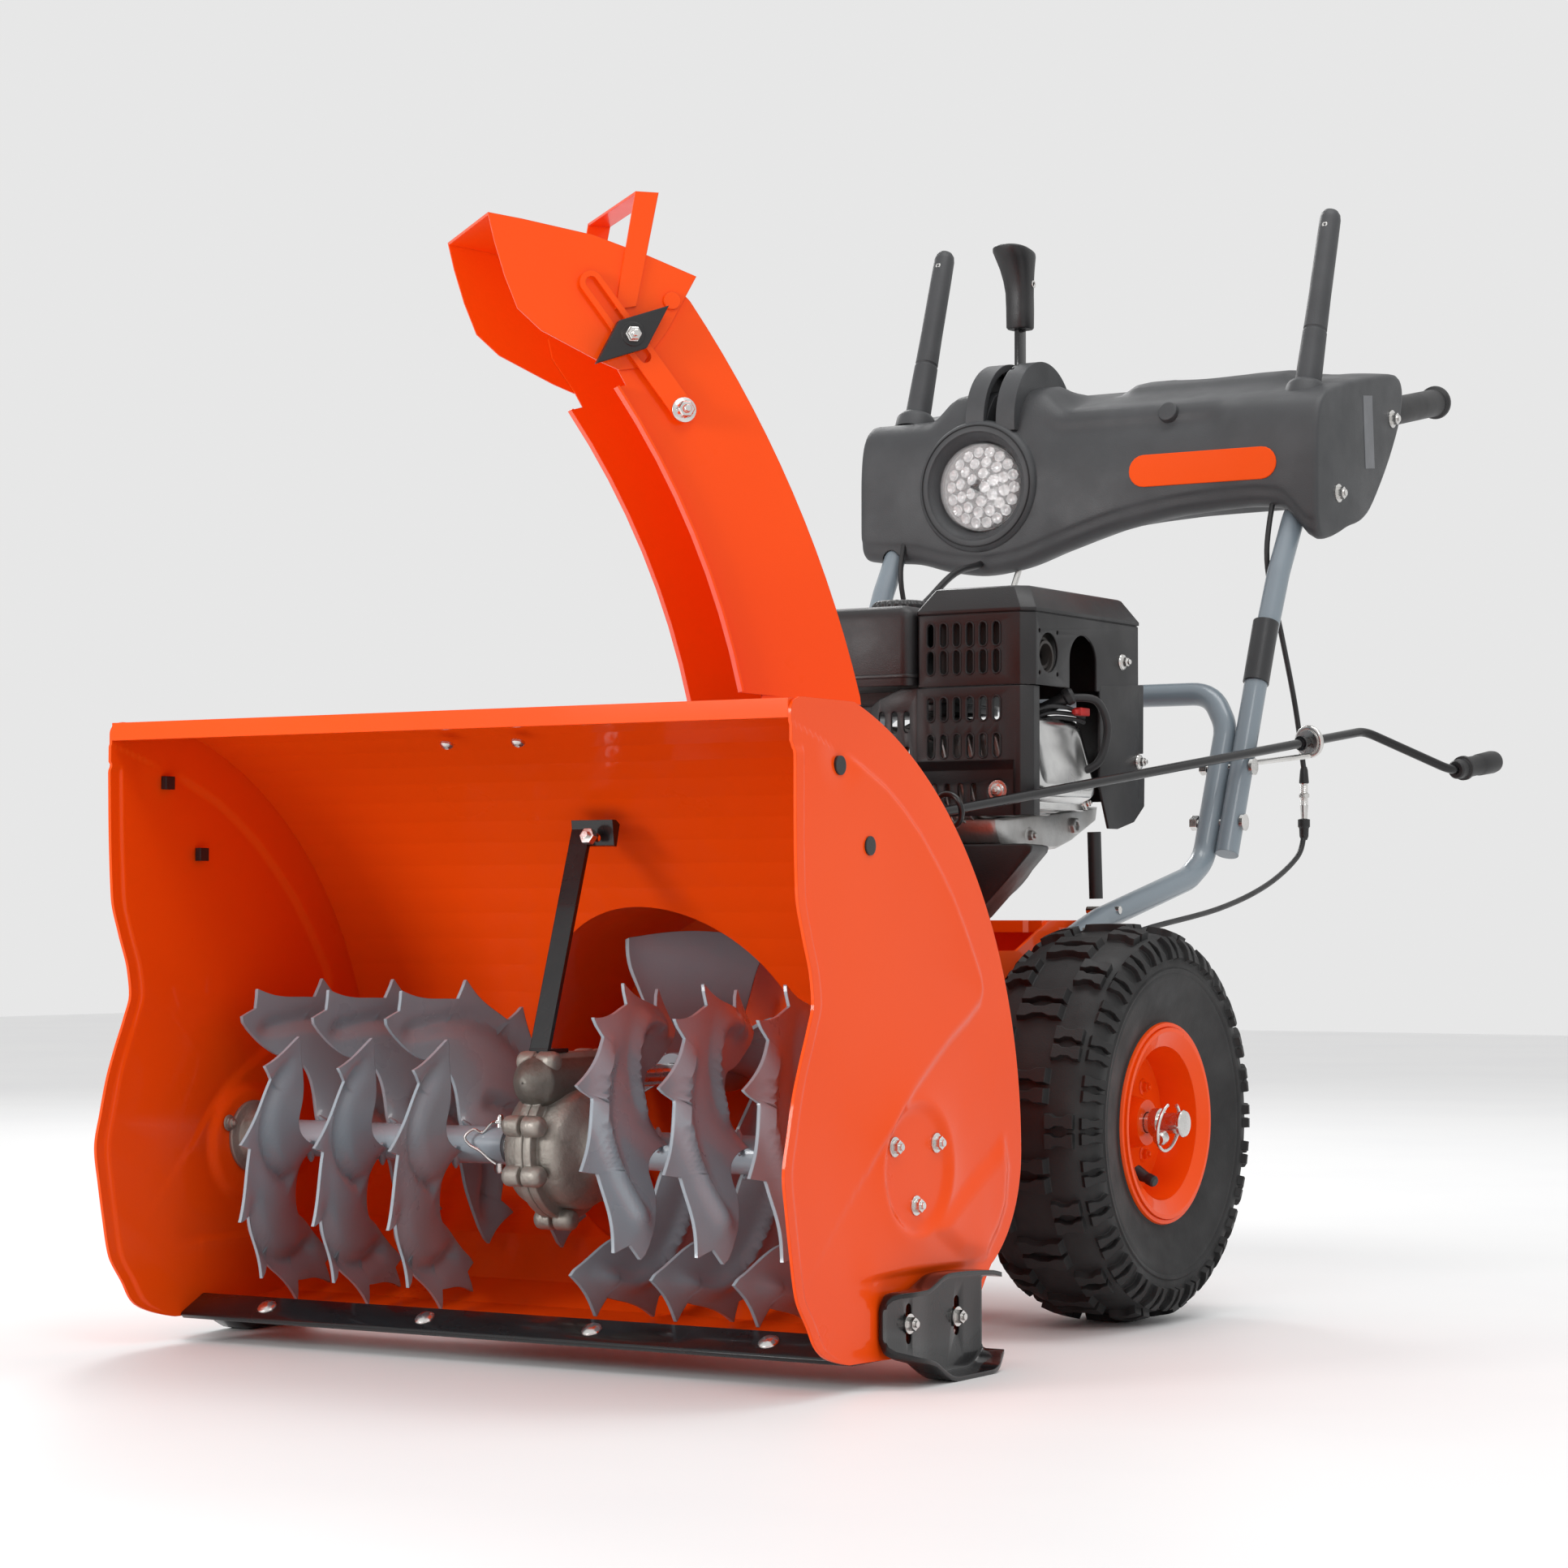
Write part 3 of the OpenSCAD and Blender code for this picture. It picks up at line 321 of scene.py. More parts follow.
def spline(points, steps=6):
    """A smooth curve through every point."""
    path = []
    for i in range(len(points) - 1):
        p0, p1 = points[max(i - 1, 0)], points[i]
        p2, p3 = points[i + 1], points[min(i + 2, len(points) - 1)]
        for k in range(steps):
            t = k / steps
            path.append(0.5 * (2 * p1 + (p2 - p0) * t + (2 * p0 - 5 * p1 + 4 * p2 - p3) * t * t
                + (3 * p1 - p0 - 3 * p2 + p3) * t ** 3))
    path.append(points[-1])
    return path


def sweep(bm, path, radius, sides=20, caps=True):
    """A tube along a path in metres; radius is a number or one number per point, in millimetres."""
    radii = radius if isinstance(radius, (list, tuple)) else [radius] * len(path)
    u = frame_of(path[1] - path[0])[0]
    rings = []
    for i, p in enumerate(path):
        d = (path[min(i + 1, len(path) - 1)] - path[max(i - 1, 0)]).normalized()
        u = (u - u.dot(d) * d).normalized()
        v = d.cross(u)
        r = radii[i] * 0.001
        rings.append([p + r * (cos(a) * u + sin(a) * v) for a in round_angles(sides)])
    loft(bm, rings, caps=caps)


def lathe(bm, origin, axis, profile, steps=48, caps=True):
    """Turns (distance along axis, radius) pairs, in millimetres, around an axis."""
    u, v, w = frame_of(Vector(axis))
    rings = [[origin + 0.001 * (a * w + r * (cos(t) * u + sin(t) * v)) for t in round_angles(steps)]
        for a, r in profile]
    loft(bm, rings, caps=caps)


def prism(bm, outline, axis, lo, hi):
    """An outline in the plane square to an axis: (y, z) for X, (x, z) for Y, (x, y) for Z."""
    order = {"X": (2, 0, 1), "Y": (0, 2, 1), "Z": (0, 1, 2)}[axis]
    rings = [[(*p, level) for p in outline] for level in (lo, hi)]
    loft(bm, [[at(*(p[k] for k in order)) for p in ring] for ring in rings])


def block(bm, x, y, z):
    prism(bm, [(x[0], y[0]), (x[1], y[0]), (x[1], y[1]), (x[0], y[1])], "Z", z[0], z[1])


def bolt(bm, origin, axis, size, washer=0.0):
    """A flanged hexagon head with a stud end, on origin. size is the thread radius, washer its own."""
    u, v, w = frame_of(Vector(axis))
    base = 0.0
    if washer:
        lathe(bm, origin, axis, [(0, washer), (1.2, washer), (1.6, washer - 0.5)], 28)
        base = 1.4
    lathe(bm, origin, axis, [(base, size * 1.75), (base + 0.9, size * 1.7), (base + 1.9, size * 1.25)],
        28)
    base += 1.4
    hexagon = round_angles(6)
    rings = []
    for a, r in ((base, 1.12), (base + size * 0.85, 1.12), (base + size, 0.98)):
        rings.append([origin + 0.001 * (a * w + size * r * (cos(t) * u + sin(t) * v)) for t in hexagon])
    loft(bm, rings)
    lathe(bm, origin, axis, [(base, size * 0.62), (base + size * 1.5, size * 0.6),
        (base + size * 1.65, size * 0.45)], 20)


def join_edges(bm, skins):
    """Closes the gap between two open sheets with the same rows and columns, all the way round."""
    rims = [[row[0] for row in a] + a[-1][1:] + [row[-1] for row in reversed(a)][1:] + a[0][-2:0:-1]
        for a in skins]
    for i in range(len(rims[0])):
        j = (i + 1) % len(rims[0])
        bm.faces.new((rims[0][i], rims[0][j], rims[1][j], rims[1][i]))


def merge(bm, *others):
    """Adds the other bmeshes to bm as they are."""
    mesh = bpy.data.meshes.new("scratch")
    for extra in others:
        extra.to_mesh(mesh)
        bm.from_mesh(mesh)
        extra.free()
    bpy.data.meshes.remove(mesh)


# ---- camera, floor and light -------------------------------------------------------------------


def make_stage():
    """Camera at the photograph's view, pale studio, floor and four area lights."""
    camera = bpy.data.objects.new("camera", bpy.data.cameras.new("camera"))
    bpy.context.scene.collection.objects.link(camera)
    azimuth, tilt = radians(31.81), radians(2.16)
    camera.location = (1.928, -3.357, 0.384)
    camera.rotation_euler = (pi / 2 + tilt, 0, azimuth)
    camera.data.sensor_width = 36.0
    camera.data.lens = 85.4
    bpy.context.scene.camera = camera

    world = bpy.data.worlds.new("studio")
    bpy.context.scene.world = world
    world.use_nodes = True
    world.node_tree.nodes["Background"].inputs[0].default_value = (1.0, 1.0, 1.0, 1.0)
    world.node_tree.nodes["Background"].inputs[1].default_value = 0.80
    bpy.context.scene.view_settings.view_transform = "Standard"

    floor = new()
    loft(floor, [[Vector((-9, y, 0)), Vector((9, y, 0))] for y in (-9, 9)], closed=False)
    mesh = bpy.data.meshes.new("floor")
    floor.to_mesh(mesh)
    floor.free()
    ground = bpy.data.objects.new("floor", mesh)
    bpy.context.scene.collection.objects.link(ground)
    pale = Shader("floor_pale", (0.86, 0.86, 0.86), 0.55, bevel=0.0)
    pale.tint(pale.noise(2.0, 3.0), (0.84, 0.84, 0.845), 0.4, 0.7)
    mesh.materials.append(pale.mat)

    def area(name, place, target, size, power):
        light = bpy.data.objects.new(name, bpy.data.lights.new(name, "AREA"))
        light.data.shape = "RECTANGLE"
        light.data.size, light.data.size_y = size
        light.data.energy = power
        light.location = place
        aim = Vector(target) - Vector(place)
        light.rotation_euler = aim.to_track_quat("-Z", "Y").to_euler()
        bpy.context.scene.collection.objects.link(light)

    area("key", (2.4, -2.6, 3.2), (0, 0, 0.4), (1.2, 1.2), 22)
    area("front", (-1.4, -3.8, 1.3), (0, -0.4, 0.4), (1.0, 1.0), 52)
    area("rim", (-2.4, 2.4, 2.8), (0, 0, 0.6), (1.0, 1.6), 40)
    area("top", (0.6, 0.2, 3.4), (0, 0, 0.4), (0.9, 2.2), 30)


make_stage()

# ---- carried-over CAD nodes --------------------------------------------------------------------

SLOTS = {p["node"]: p["material_slot"] for p in frame["record"]["subparts"]}
LOOKS = {"muffler": "hot_black", "valve_cover": "pressed_steel"}
for name, node in NODES.items():
    node.data.materials.clear()
    node.data.materials.append(MAT[LOOKS.get(name, SLOTS[name])])

# ---- handle tubes ------------------------------------------------------------------------------


HANDLE_X = 250.0
TUBE_RADIUS = 12.5


def on_bar(z):
    """Y of the line along which the lower and upper handle tubes run side by side."""
    return 1064 + (z - 473) * 0.406


def make_handles():
    """The lower loop and the two upper tubes, which run down beside it."""
    bm = new()
    corners = [(203, 782, 366), (204, 850, 388), (222, 1020, 432), (224, on_bar(452), 452),
        (224, on_bar(596), 596), (200, on_bar(634), 634)]
    left = [at(*p) for p in corners]
    right = [at(-x, y, z) for x, y, z in reversed(corners)]
    sweep(bm, fillet(left + right, 0.05), TUBE_RADIUS, 28)
    piece("lower_handle_tube", bm, "tube_paint", replaces=["lower_handle"])

    bm = new()
    for s in (1, -1):
        x = HANDLE_X * s
        path = [at(x, on_bar(458), 458), at(x, 1131, 638), at(x, 1167, 712), at(x, 1194, 768),
            at(x, 1239, 839), at(x, 1280, 870), at(x, 1400, 952), at(x, 1440, 968), at(x, 1650, 1009.4)]
        sweep(bm, fillet(path, 0.09), TUBE_RADIUS, 28)
    piece("upper_handle_tubes", bm, "tube_paint", replaces=["upper_handles"])


make_handles()

# ---- wheels ------------------------------------------------------------------------------------

# (y, z) of the axle
AXLE = (712.0, 192.5)
WHEEL_X = 290.0
TYRE_RADIUS = 185.0
KNOBS_ROUND = 28
TYRE_PROFILE = [(0, 185), (22, 184.6), (38, 182.6), (50, 178.5), (58, 172), (63.4, 163), (65, 153),
    (64.6, 150.5), (66, 149), (65.6, 146.5), (64.2, 145), (64.6, 141.5), (63.6, 139.5), (61, 126),
    (57.5, 112), (54.5, 103), (53.6, 99), (55, 96.5), (54, 93.5), (50, 92)]


def tread_point(s, along, round_mm, height):
    """A point on the tyre: distance along the profile from the crown, arc length round, height above."""
    sign = 1 if along >= 0 else -1
    left = abs(along)
    for (a0, r0), (a1, r1) in zip(TYRE_PROFILE, TYRE_PROFILE[1:]):
        step = hypot(a1 - a0, r1 - r0)
        if left <= step:
            break
        left -= step
    t = left / step
    a, r = a0 + (a1 - a0) * t, r0 + (r1 - r0) * t
    na, nr = (r0 - r1) / step, (a1 - a0) / step
    a, r = (a + na * height) * sign, r + nr * height
    turn = round_mm / TYRE_RADIUS
    return at(WHEEL_X * s + a, AXLE[0] + r * sin(turn), AXLE[1] + r * cos(turn))


def knob(bm, s, along, around, width, depth, waist, height):
    """Two bow-tie blocks, one after the other round the tyre, with a narrow gap between them."""
    for side in (1, -1):
        inner, outer = 1.6 * side, depth * side
        rows = [(-0.5, inner, outer), (-0.28, inner, outer), (-0.12, inner + waist * side,
            outer - waist * side), (0.12, inner + waist * side, outer - waist * side),
            (0.28, inner, outer), (0.5, inner, outer)]
        low, high = [], []
        for ring, lift, shrink in ((low, -2.0, 1.0), (high, height, 0.86)):
            middle = (inner + outer) / 2
            front = [(w * width * shrink, middle + (o - middle) * shrink) for w, i, o in rows]
            back = [(w * width * shrink, middle + (i - middle) * shrink) for w, i, o in reversed(rows)]
            for a, c in front + back:
                ring.append(tread_point(s, along + a, around + c, lift))
        loft(bm, [low, high])


def make_tyres():
    """A turned carcass with staggered knobs, and one more on each shoulder."""
    bm = new()
    full = [(-a, r) for a, r in reversed(TYRE_PROFILE[1:])] + TYRE_PROFILE
    for s in (1, -1):
        lathe(bm, at(WHEEL_X * s, *AXLE), (1, 0, 0), full + [(44, 90), (-44, 90), full[0]], 96,
            caps=False)
        pitch = 2 * pi * TYRE_RADIUS / KNOBS_ROUND
        for i in range(KNOBS_ROUND):
            here = i * pitch
            for side in (1, -1):
                knob(bm, s, 66 * side, here, 24, 13.5, 2.2, 5.6)
            if i % 2 == 0:
                knob(bm, s, 0, here, 50, 17.0, 3.4, 7.4)
            else:
                for side in (1, -1):
                    knob(bm, s, 36 * side, here, 30, 16.5, 3.0, 7.4)
    piece("tyre_treads", bm, "tyre_rubber", "drive_wheels", replaces=["tyres"], angle=38)


make_tyres()


STEM_ANGLE = 3.6


def make_wheel_details():
    """Valve stems, and the click pins that lock the wheels to the axle."""
    bm = new()
    for s in (1, -1):
        stem = at(s * 344, AXLE[0] + 60 * sin(STEM_ANGLE), AXLE[1] + 60 * cos(STEM_ANGLE))
        out = Vector((s * 0.8, 0.0, 0.0)) + (stem - at(s * 344, *AXLE)).normalized() * 0.35
        lathe(bm, stem - out.normalized() * 0.02, out,
            [(0, 7.5), (8, 6), (14, 5.0), (15, 5.6), (22, 5.6), (24, 4.2)], 20)
    piece("valve_stems", bm, "soft_rubber", "drive_wheels")
    bm = new()
    for s in (1, -1):
        ring = [at(s * (353 + 0.16 * 23 * cos(t)), AXLE[0] + 23 * sin(t) - 9, AXLE[1] + 23 * cos(t) - 3)
            for t in (0.5 + 5.4 * k / 36 for k in range(37))]
        sweep(bm, ring, 1.8, 10)
        lathe(bm, at(s * 352, AXLE[0] - 20, AXLE[1] - 12), (0, -1, -0.25),
            [(-3, 5), (0, 7), (7, 7), (9, 5)], 20)
        lathe(bm, at(s * 340, *AXLE), (s, 0, 0),
            [(0, 10), (22, 10), (22.4, 12.6), (25, 13.2), (26.6, 12), (27, 8)], 32)
        lathe(bm, at(s * 333, *AXLE), (s, 0, 0), [(0, 14), (8, 14), (8, 10)], 32, caps=False)
    piece("click_rings", bm, "bright_steel", "drive_wheels", replaces=["axle_pins"])


make_wheel_details()


def make_rims():
    """A pressed dish with a rolled lip on each side of a wheel."""
    bm = new()
    for s in (1, -1):
        outer = [(0, 92.5), (4, 96), (7, 97.5), (9.5, 96.5), (10, 93), (7, 90), (1, 87.5), (-8, 84),
            (-26, 80), (-31, 77), (-33, 70), (-33, 30), (-31, 26), (-22, 24), (-12, 22), (-12, 10.4)]
        lathe(bm, at(s * 338, *AXLE), (s, 0, 0), outer, 80, caps=False)
        lathe(bm, at(s * 242, *AXLE), (-s, 0, 0), outer, 80, caps=False)
        for k in range(4):
            a = pi / 4 + pi / 2 * k
            bolt(bm, at(s * 305, AXLE[0] + 46 * sin(a), AXLE[1] + 46 * cos(a)), (s, 0, 0), 4.6)
    piece("rim_dishes", bm, "orange_paint", "drive_wheels", angle=45)


make_rims()

# ---- impeller ----------------------------------------------------------------------------------


SHAFT_Z = 244.0
BLADES = 4
BLADE_ROWS = 18


def make_impeller():
    """Hub with four scoops: each blade leans back along the shaft and its outer edge is folded."""
    bm = new()
    lathe(bm, at(0, 372, SHAFT_Z), (0, 1, 0),
        [(0, 10.4), (0, 19), (2, 20), (104, 20), (106, 19), (106, 10.4)], 40, caps=False)
    for k in range(BLADES):
        turn = radians(116 + 90 * k)
        sheets = []
        for lift in (0.0, 3.0):
            rings = []
            for m in range(15):
                w = m / 14
                angle = turn - radians(44) * w ** 1.2 + lift / 90.0
                reach = 137.0 - 7.0 * w
                out, side = Vector((cos(angle), 0, sin(angle))), Vector((sin(angle), 0, -cos(angle)))
                hub = at(0, 376 + 96 * w, SHAFT_Z)
                rings.append([hub + out * (0.001 * (17 + (reach - 17) * r / BLADE_ROWS))
                    + side * (0.001 * 16.0 * max(0.0, r / BLADE_ROWS - 0.72) ** 2 * 8)
                    for r in range(BLADE_ROWS + 1)])
            sheets.append(loft(bm, rings, closed=False))
        join_edges(bm, sheets)
    piece("impeller_blades", bm, "slate_paint", "impeller_group", replaces=["impeller"], angle=40)


make_impeller()

# ---- augers ------------------------------------------------------------------------------------

# (y, z) of the auger shaft, then its tube's radius and the teeth of one flight, and their height
AUGER = (197.0, 184.0)
AUGER_TUBE = 17.0
TEETH = 6
TOOTH = 18.5
FLIGHT = {"sweep": 168.0, "run": 86.0, "pitch": 84.0, "first": 64.0, "thick": 3.4}


def flight_edge(u):
    """Outer radius at u from 0 to 1 along a flight: hooked teeth with hollow backs."""
    v = (u * TEETH + 0.25) % 1.0
    return 132.0 + (TOOTH * (v / 0.94) ** 3.4 if v < 0.94 else TOOTH * (1 - v) / 0.06)


def flight_inner(u):
    """Inner radius: both arms are broad hooks, and the middle runs in to the tube as one wide web."""
    web = exp(-((u - 0.5) / 0.24) ** 4)
    arm = 72.0 + 54.0 * abs(2 * u - 1) ** 9
    return arm * (1 - web) + 15.0 * web


def rib_lift(u, r):
    """Two ribs are pressed in: one comes down the first arm to the tube, one goes out along the second."""
    first = spread_between(u, 0.03, 0.12) * (1 - spread_between(u, 0.48, 0.60))
    second = spread_between(u, 0.40, 0.52) * (1 - spread_between(u, 0.90, 0.98))
    at_first = 117 - 62 * spread_between(u, 0.16, 0.56)
    at_second = 122 - 14 * spread_between(u, 0.6, 0.9)
    return 8.5 * (first * exp(-((r - at_first) / 9.0) ** 2) + second * exp(-((r - at_second) / 8.5) ** 2))


def spread_between(x, lo, hi):
    """A smooth step from 0 at lo to 1 at hi."""
    t = min(1.0, max(0.0, (x - lo) / (hi - lo)))
    return t * t * (3 - 2 * t)


def flight_sheet(bm, s, start, phase):
    """One stamped flight of almost half a turn, with its ribs and a dished edge."""
    tips = {(k + d) / TEETH - 0.25 / TEETH for k in range(TEETH + 1) for d in (0.935, 0.945, 0.999)}
    samples = sorted({k / 84 for k in range(85)} | {u for u in tips if 0 < u < 1})
    rows = 21
    skins = []
    for lift in (0.0, FLIGHT["thick"]):
        rings = []
        for u in samples:
            angle = radians(phase + FLIGHT["sweep"] * u)
            r0, r1 = flight_inner(u), flight_edge(u)
            ring = []
            for k in range(rows):
                r = r0 + (r1 - r0) * k / (rows - 1)
                cup = 6.0 * spread_between(r, 110, 150) - 5.0 * spread_between(abs(2 * u - 1), 0.55, 1.0)
                x = start + FLIGHT["run"] * u + lift + rib_lift(u, r) - cup - 0.05 * (r - 75)
                ring.append(at(s * x, AUGER[0] + r * sin(angle), AUGER[1] - r * cos(angle)))
            rings.append(ring)
        skins.append(loft(bm, rings, closed=False))
    join_edges(bm, skins)


def make_augers():
    for s, name, turn in ((1, "auger_left", 142.0), (-1, "auger_right", 42.0)):
        bm = new()
        lathe(bm, at(58 * s, *AUGER), (s, 0, 0),
            [(0, 14), (0, AUGER_TUBE), (280, AUGER_TUBE), (280, 14)], 40)
        for i in range(3):
            for half in (0.0, 180.0):
                start = FLIGHT["first"] + FLIGHT["pitch"] * i
                flight_sheet(bm, s, start, turn + half)
                weld = radians(turn + half + 0.52 * FLIGHT["sweep"])
                centre = at(s * (start + 0.54 * FLIGHT["run"]), AUGER[0] + AUGER_TUBE * sin(weld),
                    AUGER[1] - AUGER_TUBE * cos(weld))
                bead = [centre + Vector((0, cos(weld), sin(weld))) * 0.001 * d
                    + Vector((s * 0.00045 * d, 0, 0)) for d in (-13, -7, 0, 7, 13)]
                sweep(bm, bead, [1.5, 3.4, 3.0, 3.6, 1.5], 8)
        piece(name + "_flights", bm, "slate_paint", "augers", replaces=[name], angle=40)


make_augers()

# ---- solid cutting -----------------------------------------------------------------------------


def as_object(bm, name):
    bmesh.ops.remove_doubles(bm, verts=bm.verts, dist=1e-6)
    bmesh.ops.recalc_face_normals(bm, faces=bm.faces)
    mesh = bpy.data.meshes.new(name)
    bm.to_mesh(mesh)
    bm.free()
    obj = bpy.data.objects.new(name, mesh)
    bpy.context.scene.collection.objects.link(obj)
    return obj


def carve(bm, cutter, operation="DIFFERENCE"):
    """Cuts one closed bmesh out of another (or joins them) and returns the result as a new bmesh."""
    body, tool = as_object(bm, "carve_body"), as_object(cutter, "carve_tool")
    mod = body.modifiers.new("cut", "BOOLEAN")
    mod.operation = operation
    mod.solver = "EXACT"
    mod.object = tool
    apply_modifiers(body)
    result = new()
    result.from_mesh(body.data)
    for obj in (body, tool):
        mesh = obj.data
        bpy.data.objects.remove(obj)
        bpy.data.meshes.remove(mesh)
    return result


def stadium(cx, cz, width, height, steps=6):
    """A slot outline with round ends, standing up if it is taller than wide."""
    r = min(width, height) / 2
    tall = height > width
    reach = max(width, height) / 2 - r
    points = []
    for end in (1, -1):
        for k in range(steps + 1):
            a = pi * k / steps - (0 if tall else pi / 2)
            dx, dz = r * cos(a) * end, r * sin(a) * end
            points.append((cx + dx + (0 if tall else reach * end),
                cz + dz + (reach * end if tall else 0)))
    return points


def rounded(x, y, r, steps=5):
    """A rectangle outline with round corners."""
    points = []
    for cx, cy, start in ((x[1] - r, y[1] - r, 0), (x[0] + r, y[1] - r, 90), (x[0] + r, y[0] + r, 180),
            (x[1] - r, y[0] + r, 270)):
        for k in range(steps + 1):
            a = radians(start + 90 * k / steps)
            points.append((cx + r * cos(a), cy + r * sin(a)))
    return points


def cushion(bm, x, y, z, r, edge):
    """A box with round vertical corners of radius r and a round top edge."""
    rings = [(z[0], 0.0), (z[1] - edge, 0.0)]
    rings += [(z[1] - edge + edge * sin(a), edge * (1 - cos(a))) for a in (0.4, 0.8, 1.2, pi / 2)]
    loft(bm, [[at(px, py, h) for px, py in rounded((x[0] + i, x[1] - i), (y[0] + i, y[1] - i),
        max(r - i * 0.5, 2))] for h, i in rings])


# ---- engine ------------------------------------------------------------------------------------

GUARD_X, GUARD_Y, GUARD_Z, LID_Z = (70.0, 200.0), (712.0, 953.0), (622.0, 722.0), 695.0


def slot_field(x0, z0, columns, rows, dx, dz, height):
    """Cutters for rows of upright slots in the engine's front sheets."""
    bm = new()
    for i in range(columns):
        for k in range(rows):
            prism(bm, stadium(x0 + i * dx, z0 + k * dz, 7.0, height), "Y", 700.0, 730.0)
    return bm


def guard_outline(inset):
    """The guard's plan, drawn in by inset."""
    x0, x1 = GUARD_X[0] + inset, GUARD_X[1] - inset
    y0, y1 = GUARD_Y[0] + inset, GUARD_Y[1] - inset
    chamfer = 12.0
    return [(x0 + 3, y0), (x1 - chamfer, y0), (x1, y0 + chamfer * 0.9), (x1, y1 - 3), (x1 - 3, y1),
        (x0 + 3, y1), (x0, y1 - 3), (x0, y0 + 3)]


# Middles of the exhaust port (y, z), screw recess and dimple (x, z) and filler cap (x, y).
CRANKSHAFT_Z = 500.0
PORT = (750.0, 655.0)
RECESS = (158.0, 517.0)
DIMPLE = (-78.0, 668.0)
CAP = (-45.0, 880.0)
SLOT_X, SLOT_STEP = 86.0, 15.0
SHROUD_Y = 711.9


def make_engine_covers():
    """Muffler guard, shroud, air cleaner, tank and filler cap."""
    bm = new()
    levels = [(GUARD_Z[0], 0.0), (LID_Z - 1.2, 0.0), (LID_Z - 0.8, 0.9), (LID_Z, 0.9),
        (LID_Z + 0.4, -0.8), (LID_Z + 3.5, -0.8), (GUARD_Z[1] - 1.5, 13.0), (GUARD_Z[1], 16.0)]
    loft(bm, [[at(x, y, z) for x, y in guard_outline(i)] for z, i in levels])
    hollow = new()
    loft(hollow, [[at(x, y, z) for x, y in guard_outline(i)]
        for z, i in ((GUARD_Z[0] - 5, 2.5), (LID_Z, 2.5), (GUARD_Z[1] - 3, 17.0))])
    bm = carve(bm, hollow)
    bm = carve(bm, slot_field(SLOT_X, 646, 6, 2, SLOT_STEP, 27.5, height=23.0))
    ports = new()
    lathe(ports, at(188, *PORT), (1, 0, 0), [(0, 20), (25, 20)], 40)
    arch = [(795, 600), (795, 650)] + [(825 - 30 * cos(a), 650 + 27 * sin(a))
        for a in (pi * k / 14 for k in range(1, 14))] + [(855, 650), (855, 600)]
    prism(ports, arch, "X", 192, 210)
    for dy in (-19, 19):
        for dz in (-21, 21):
            lathe(ports, at(192, PORT[0] + dy, PORT[1] + dz), (1, 0, 0), [(0, 2.4), (20, 2.4)], 12)
    bm = carve(bm, ports)
    piece("exhaust_guard", bm, "black_plastic", replaces=["muffler_guard"], bevel=0.7, angle=40)

    rims = new()
    for i in range(6):
        for z in (646, 673.5, 562, 599):
            outline = [at(x, SHROUD_Y, zz) for x, zz in stadium(SLOT_X + SLOT_STEP * i, z, 9.0, 25.0)]
            sweep(rims, outline + outline[:1], 0.9, 6, caps=False)
    piece("slot_rims", rims, "black_plastic")

    bm = new()
    folds = [(712, 621), (712, 547), (719, 538), (719, 492), (721.5, 492), (721.5, 539), (714.5, 549),
        (714.5, 621)]
    prism(bm, folds, "X", 70, 182)
    side = new()
    corner = [(180, 712), (188, 712), (198, 722), (198, 734), (195.5, 734), (195.5, 723), (186, 714.5)]
    prism(side, corner, "Z", 492, 621)
    bm = carve(bm, side, "UNION")
    bm = carve(bm, slot_field(SLOT_X, 562, 6, 2, SLOT_STEP, 37, height=23.0))
    bm = carve(bm, slot_field(SLOT_X, 514, 4, 1, SLOT_STEP, 30, height=22.0))
    recess = new()
    lathe(recess, at(RECESS[0], 716, RECESS[1]), (0, 1, 0), [(0, 15), (4, 11), (8, 10)], 32)
    bm = carve(bm, recess)
    piece("lower_shroud", bm, "black_plastic", replaces=["engine_shroud"], bevel=0.6, angle=40)

    bm = new()
    prism(bm, [(14, 486), (70, 486), (70, 622), (49, 622), (24, 612), (14, 604)], "Y", 716, 718.5)
    bm = carve(bm, slot_field(27, 552, 3, 2, 14.5, 36, height=22.0))
    piece("shroud_wing", bm, "black_plastic", bevel=0.6)

    bm = new()
    lathe(bm, at(RECESS[0], 719.5, RECESS[1]), (0, 1, 0), [(0, 10.5), (3, 10.5)], 32)
    bolt(bm, at(RECESS[0], 719.5, RECESS[1]), (0, -1, 0), 4.2)
    bolt(bm, at(200, 912, 655), (1, 0, 0), 4.6, washer=8.5)
    bolt(bm, at(DIMPLE[0], 704.5, DIMPLE[1]), (0, -1, 0), 4.2)
    bolt(bm, at(200, 950, 553), (1, 0, 0), 4.4, washer=8.0)
    piece("cover_bolts", bm, "bright_steel")

    bm = new()
    lathe(bm, at(184, *PORT), (1, 0, 0), [(0, 17), (9, 17), (10, 16), (10, 13), (-8, 13)], 36, caps=False)
    piece("exhaust_pipe", bm, "hot_black")

    bm = new()
    cushion(bm, (-92, 68), (702, 792), (624, 706), 12, 14)
    dimple = new()
    lathe(dimple, at(DIMPLE[0], 700, DIMPLE[1]), (0, 1, 0), [(0, 14), (4.5, 10)], 32)
    bm = carve(bm, dimple)
    piece("airbox_shell", bm, "black_plastic", replaces=["airbox_cover"], bevel=0.8, angle=35)
    bm = new()
    loft(bm, [[at(x, y, z) for x, y in rounded((-94, 70), (701, 794), 12)] for z in (632, 636)])
    piece("airbox_seam", bm, "black_plastic", bevel=0.8)

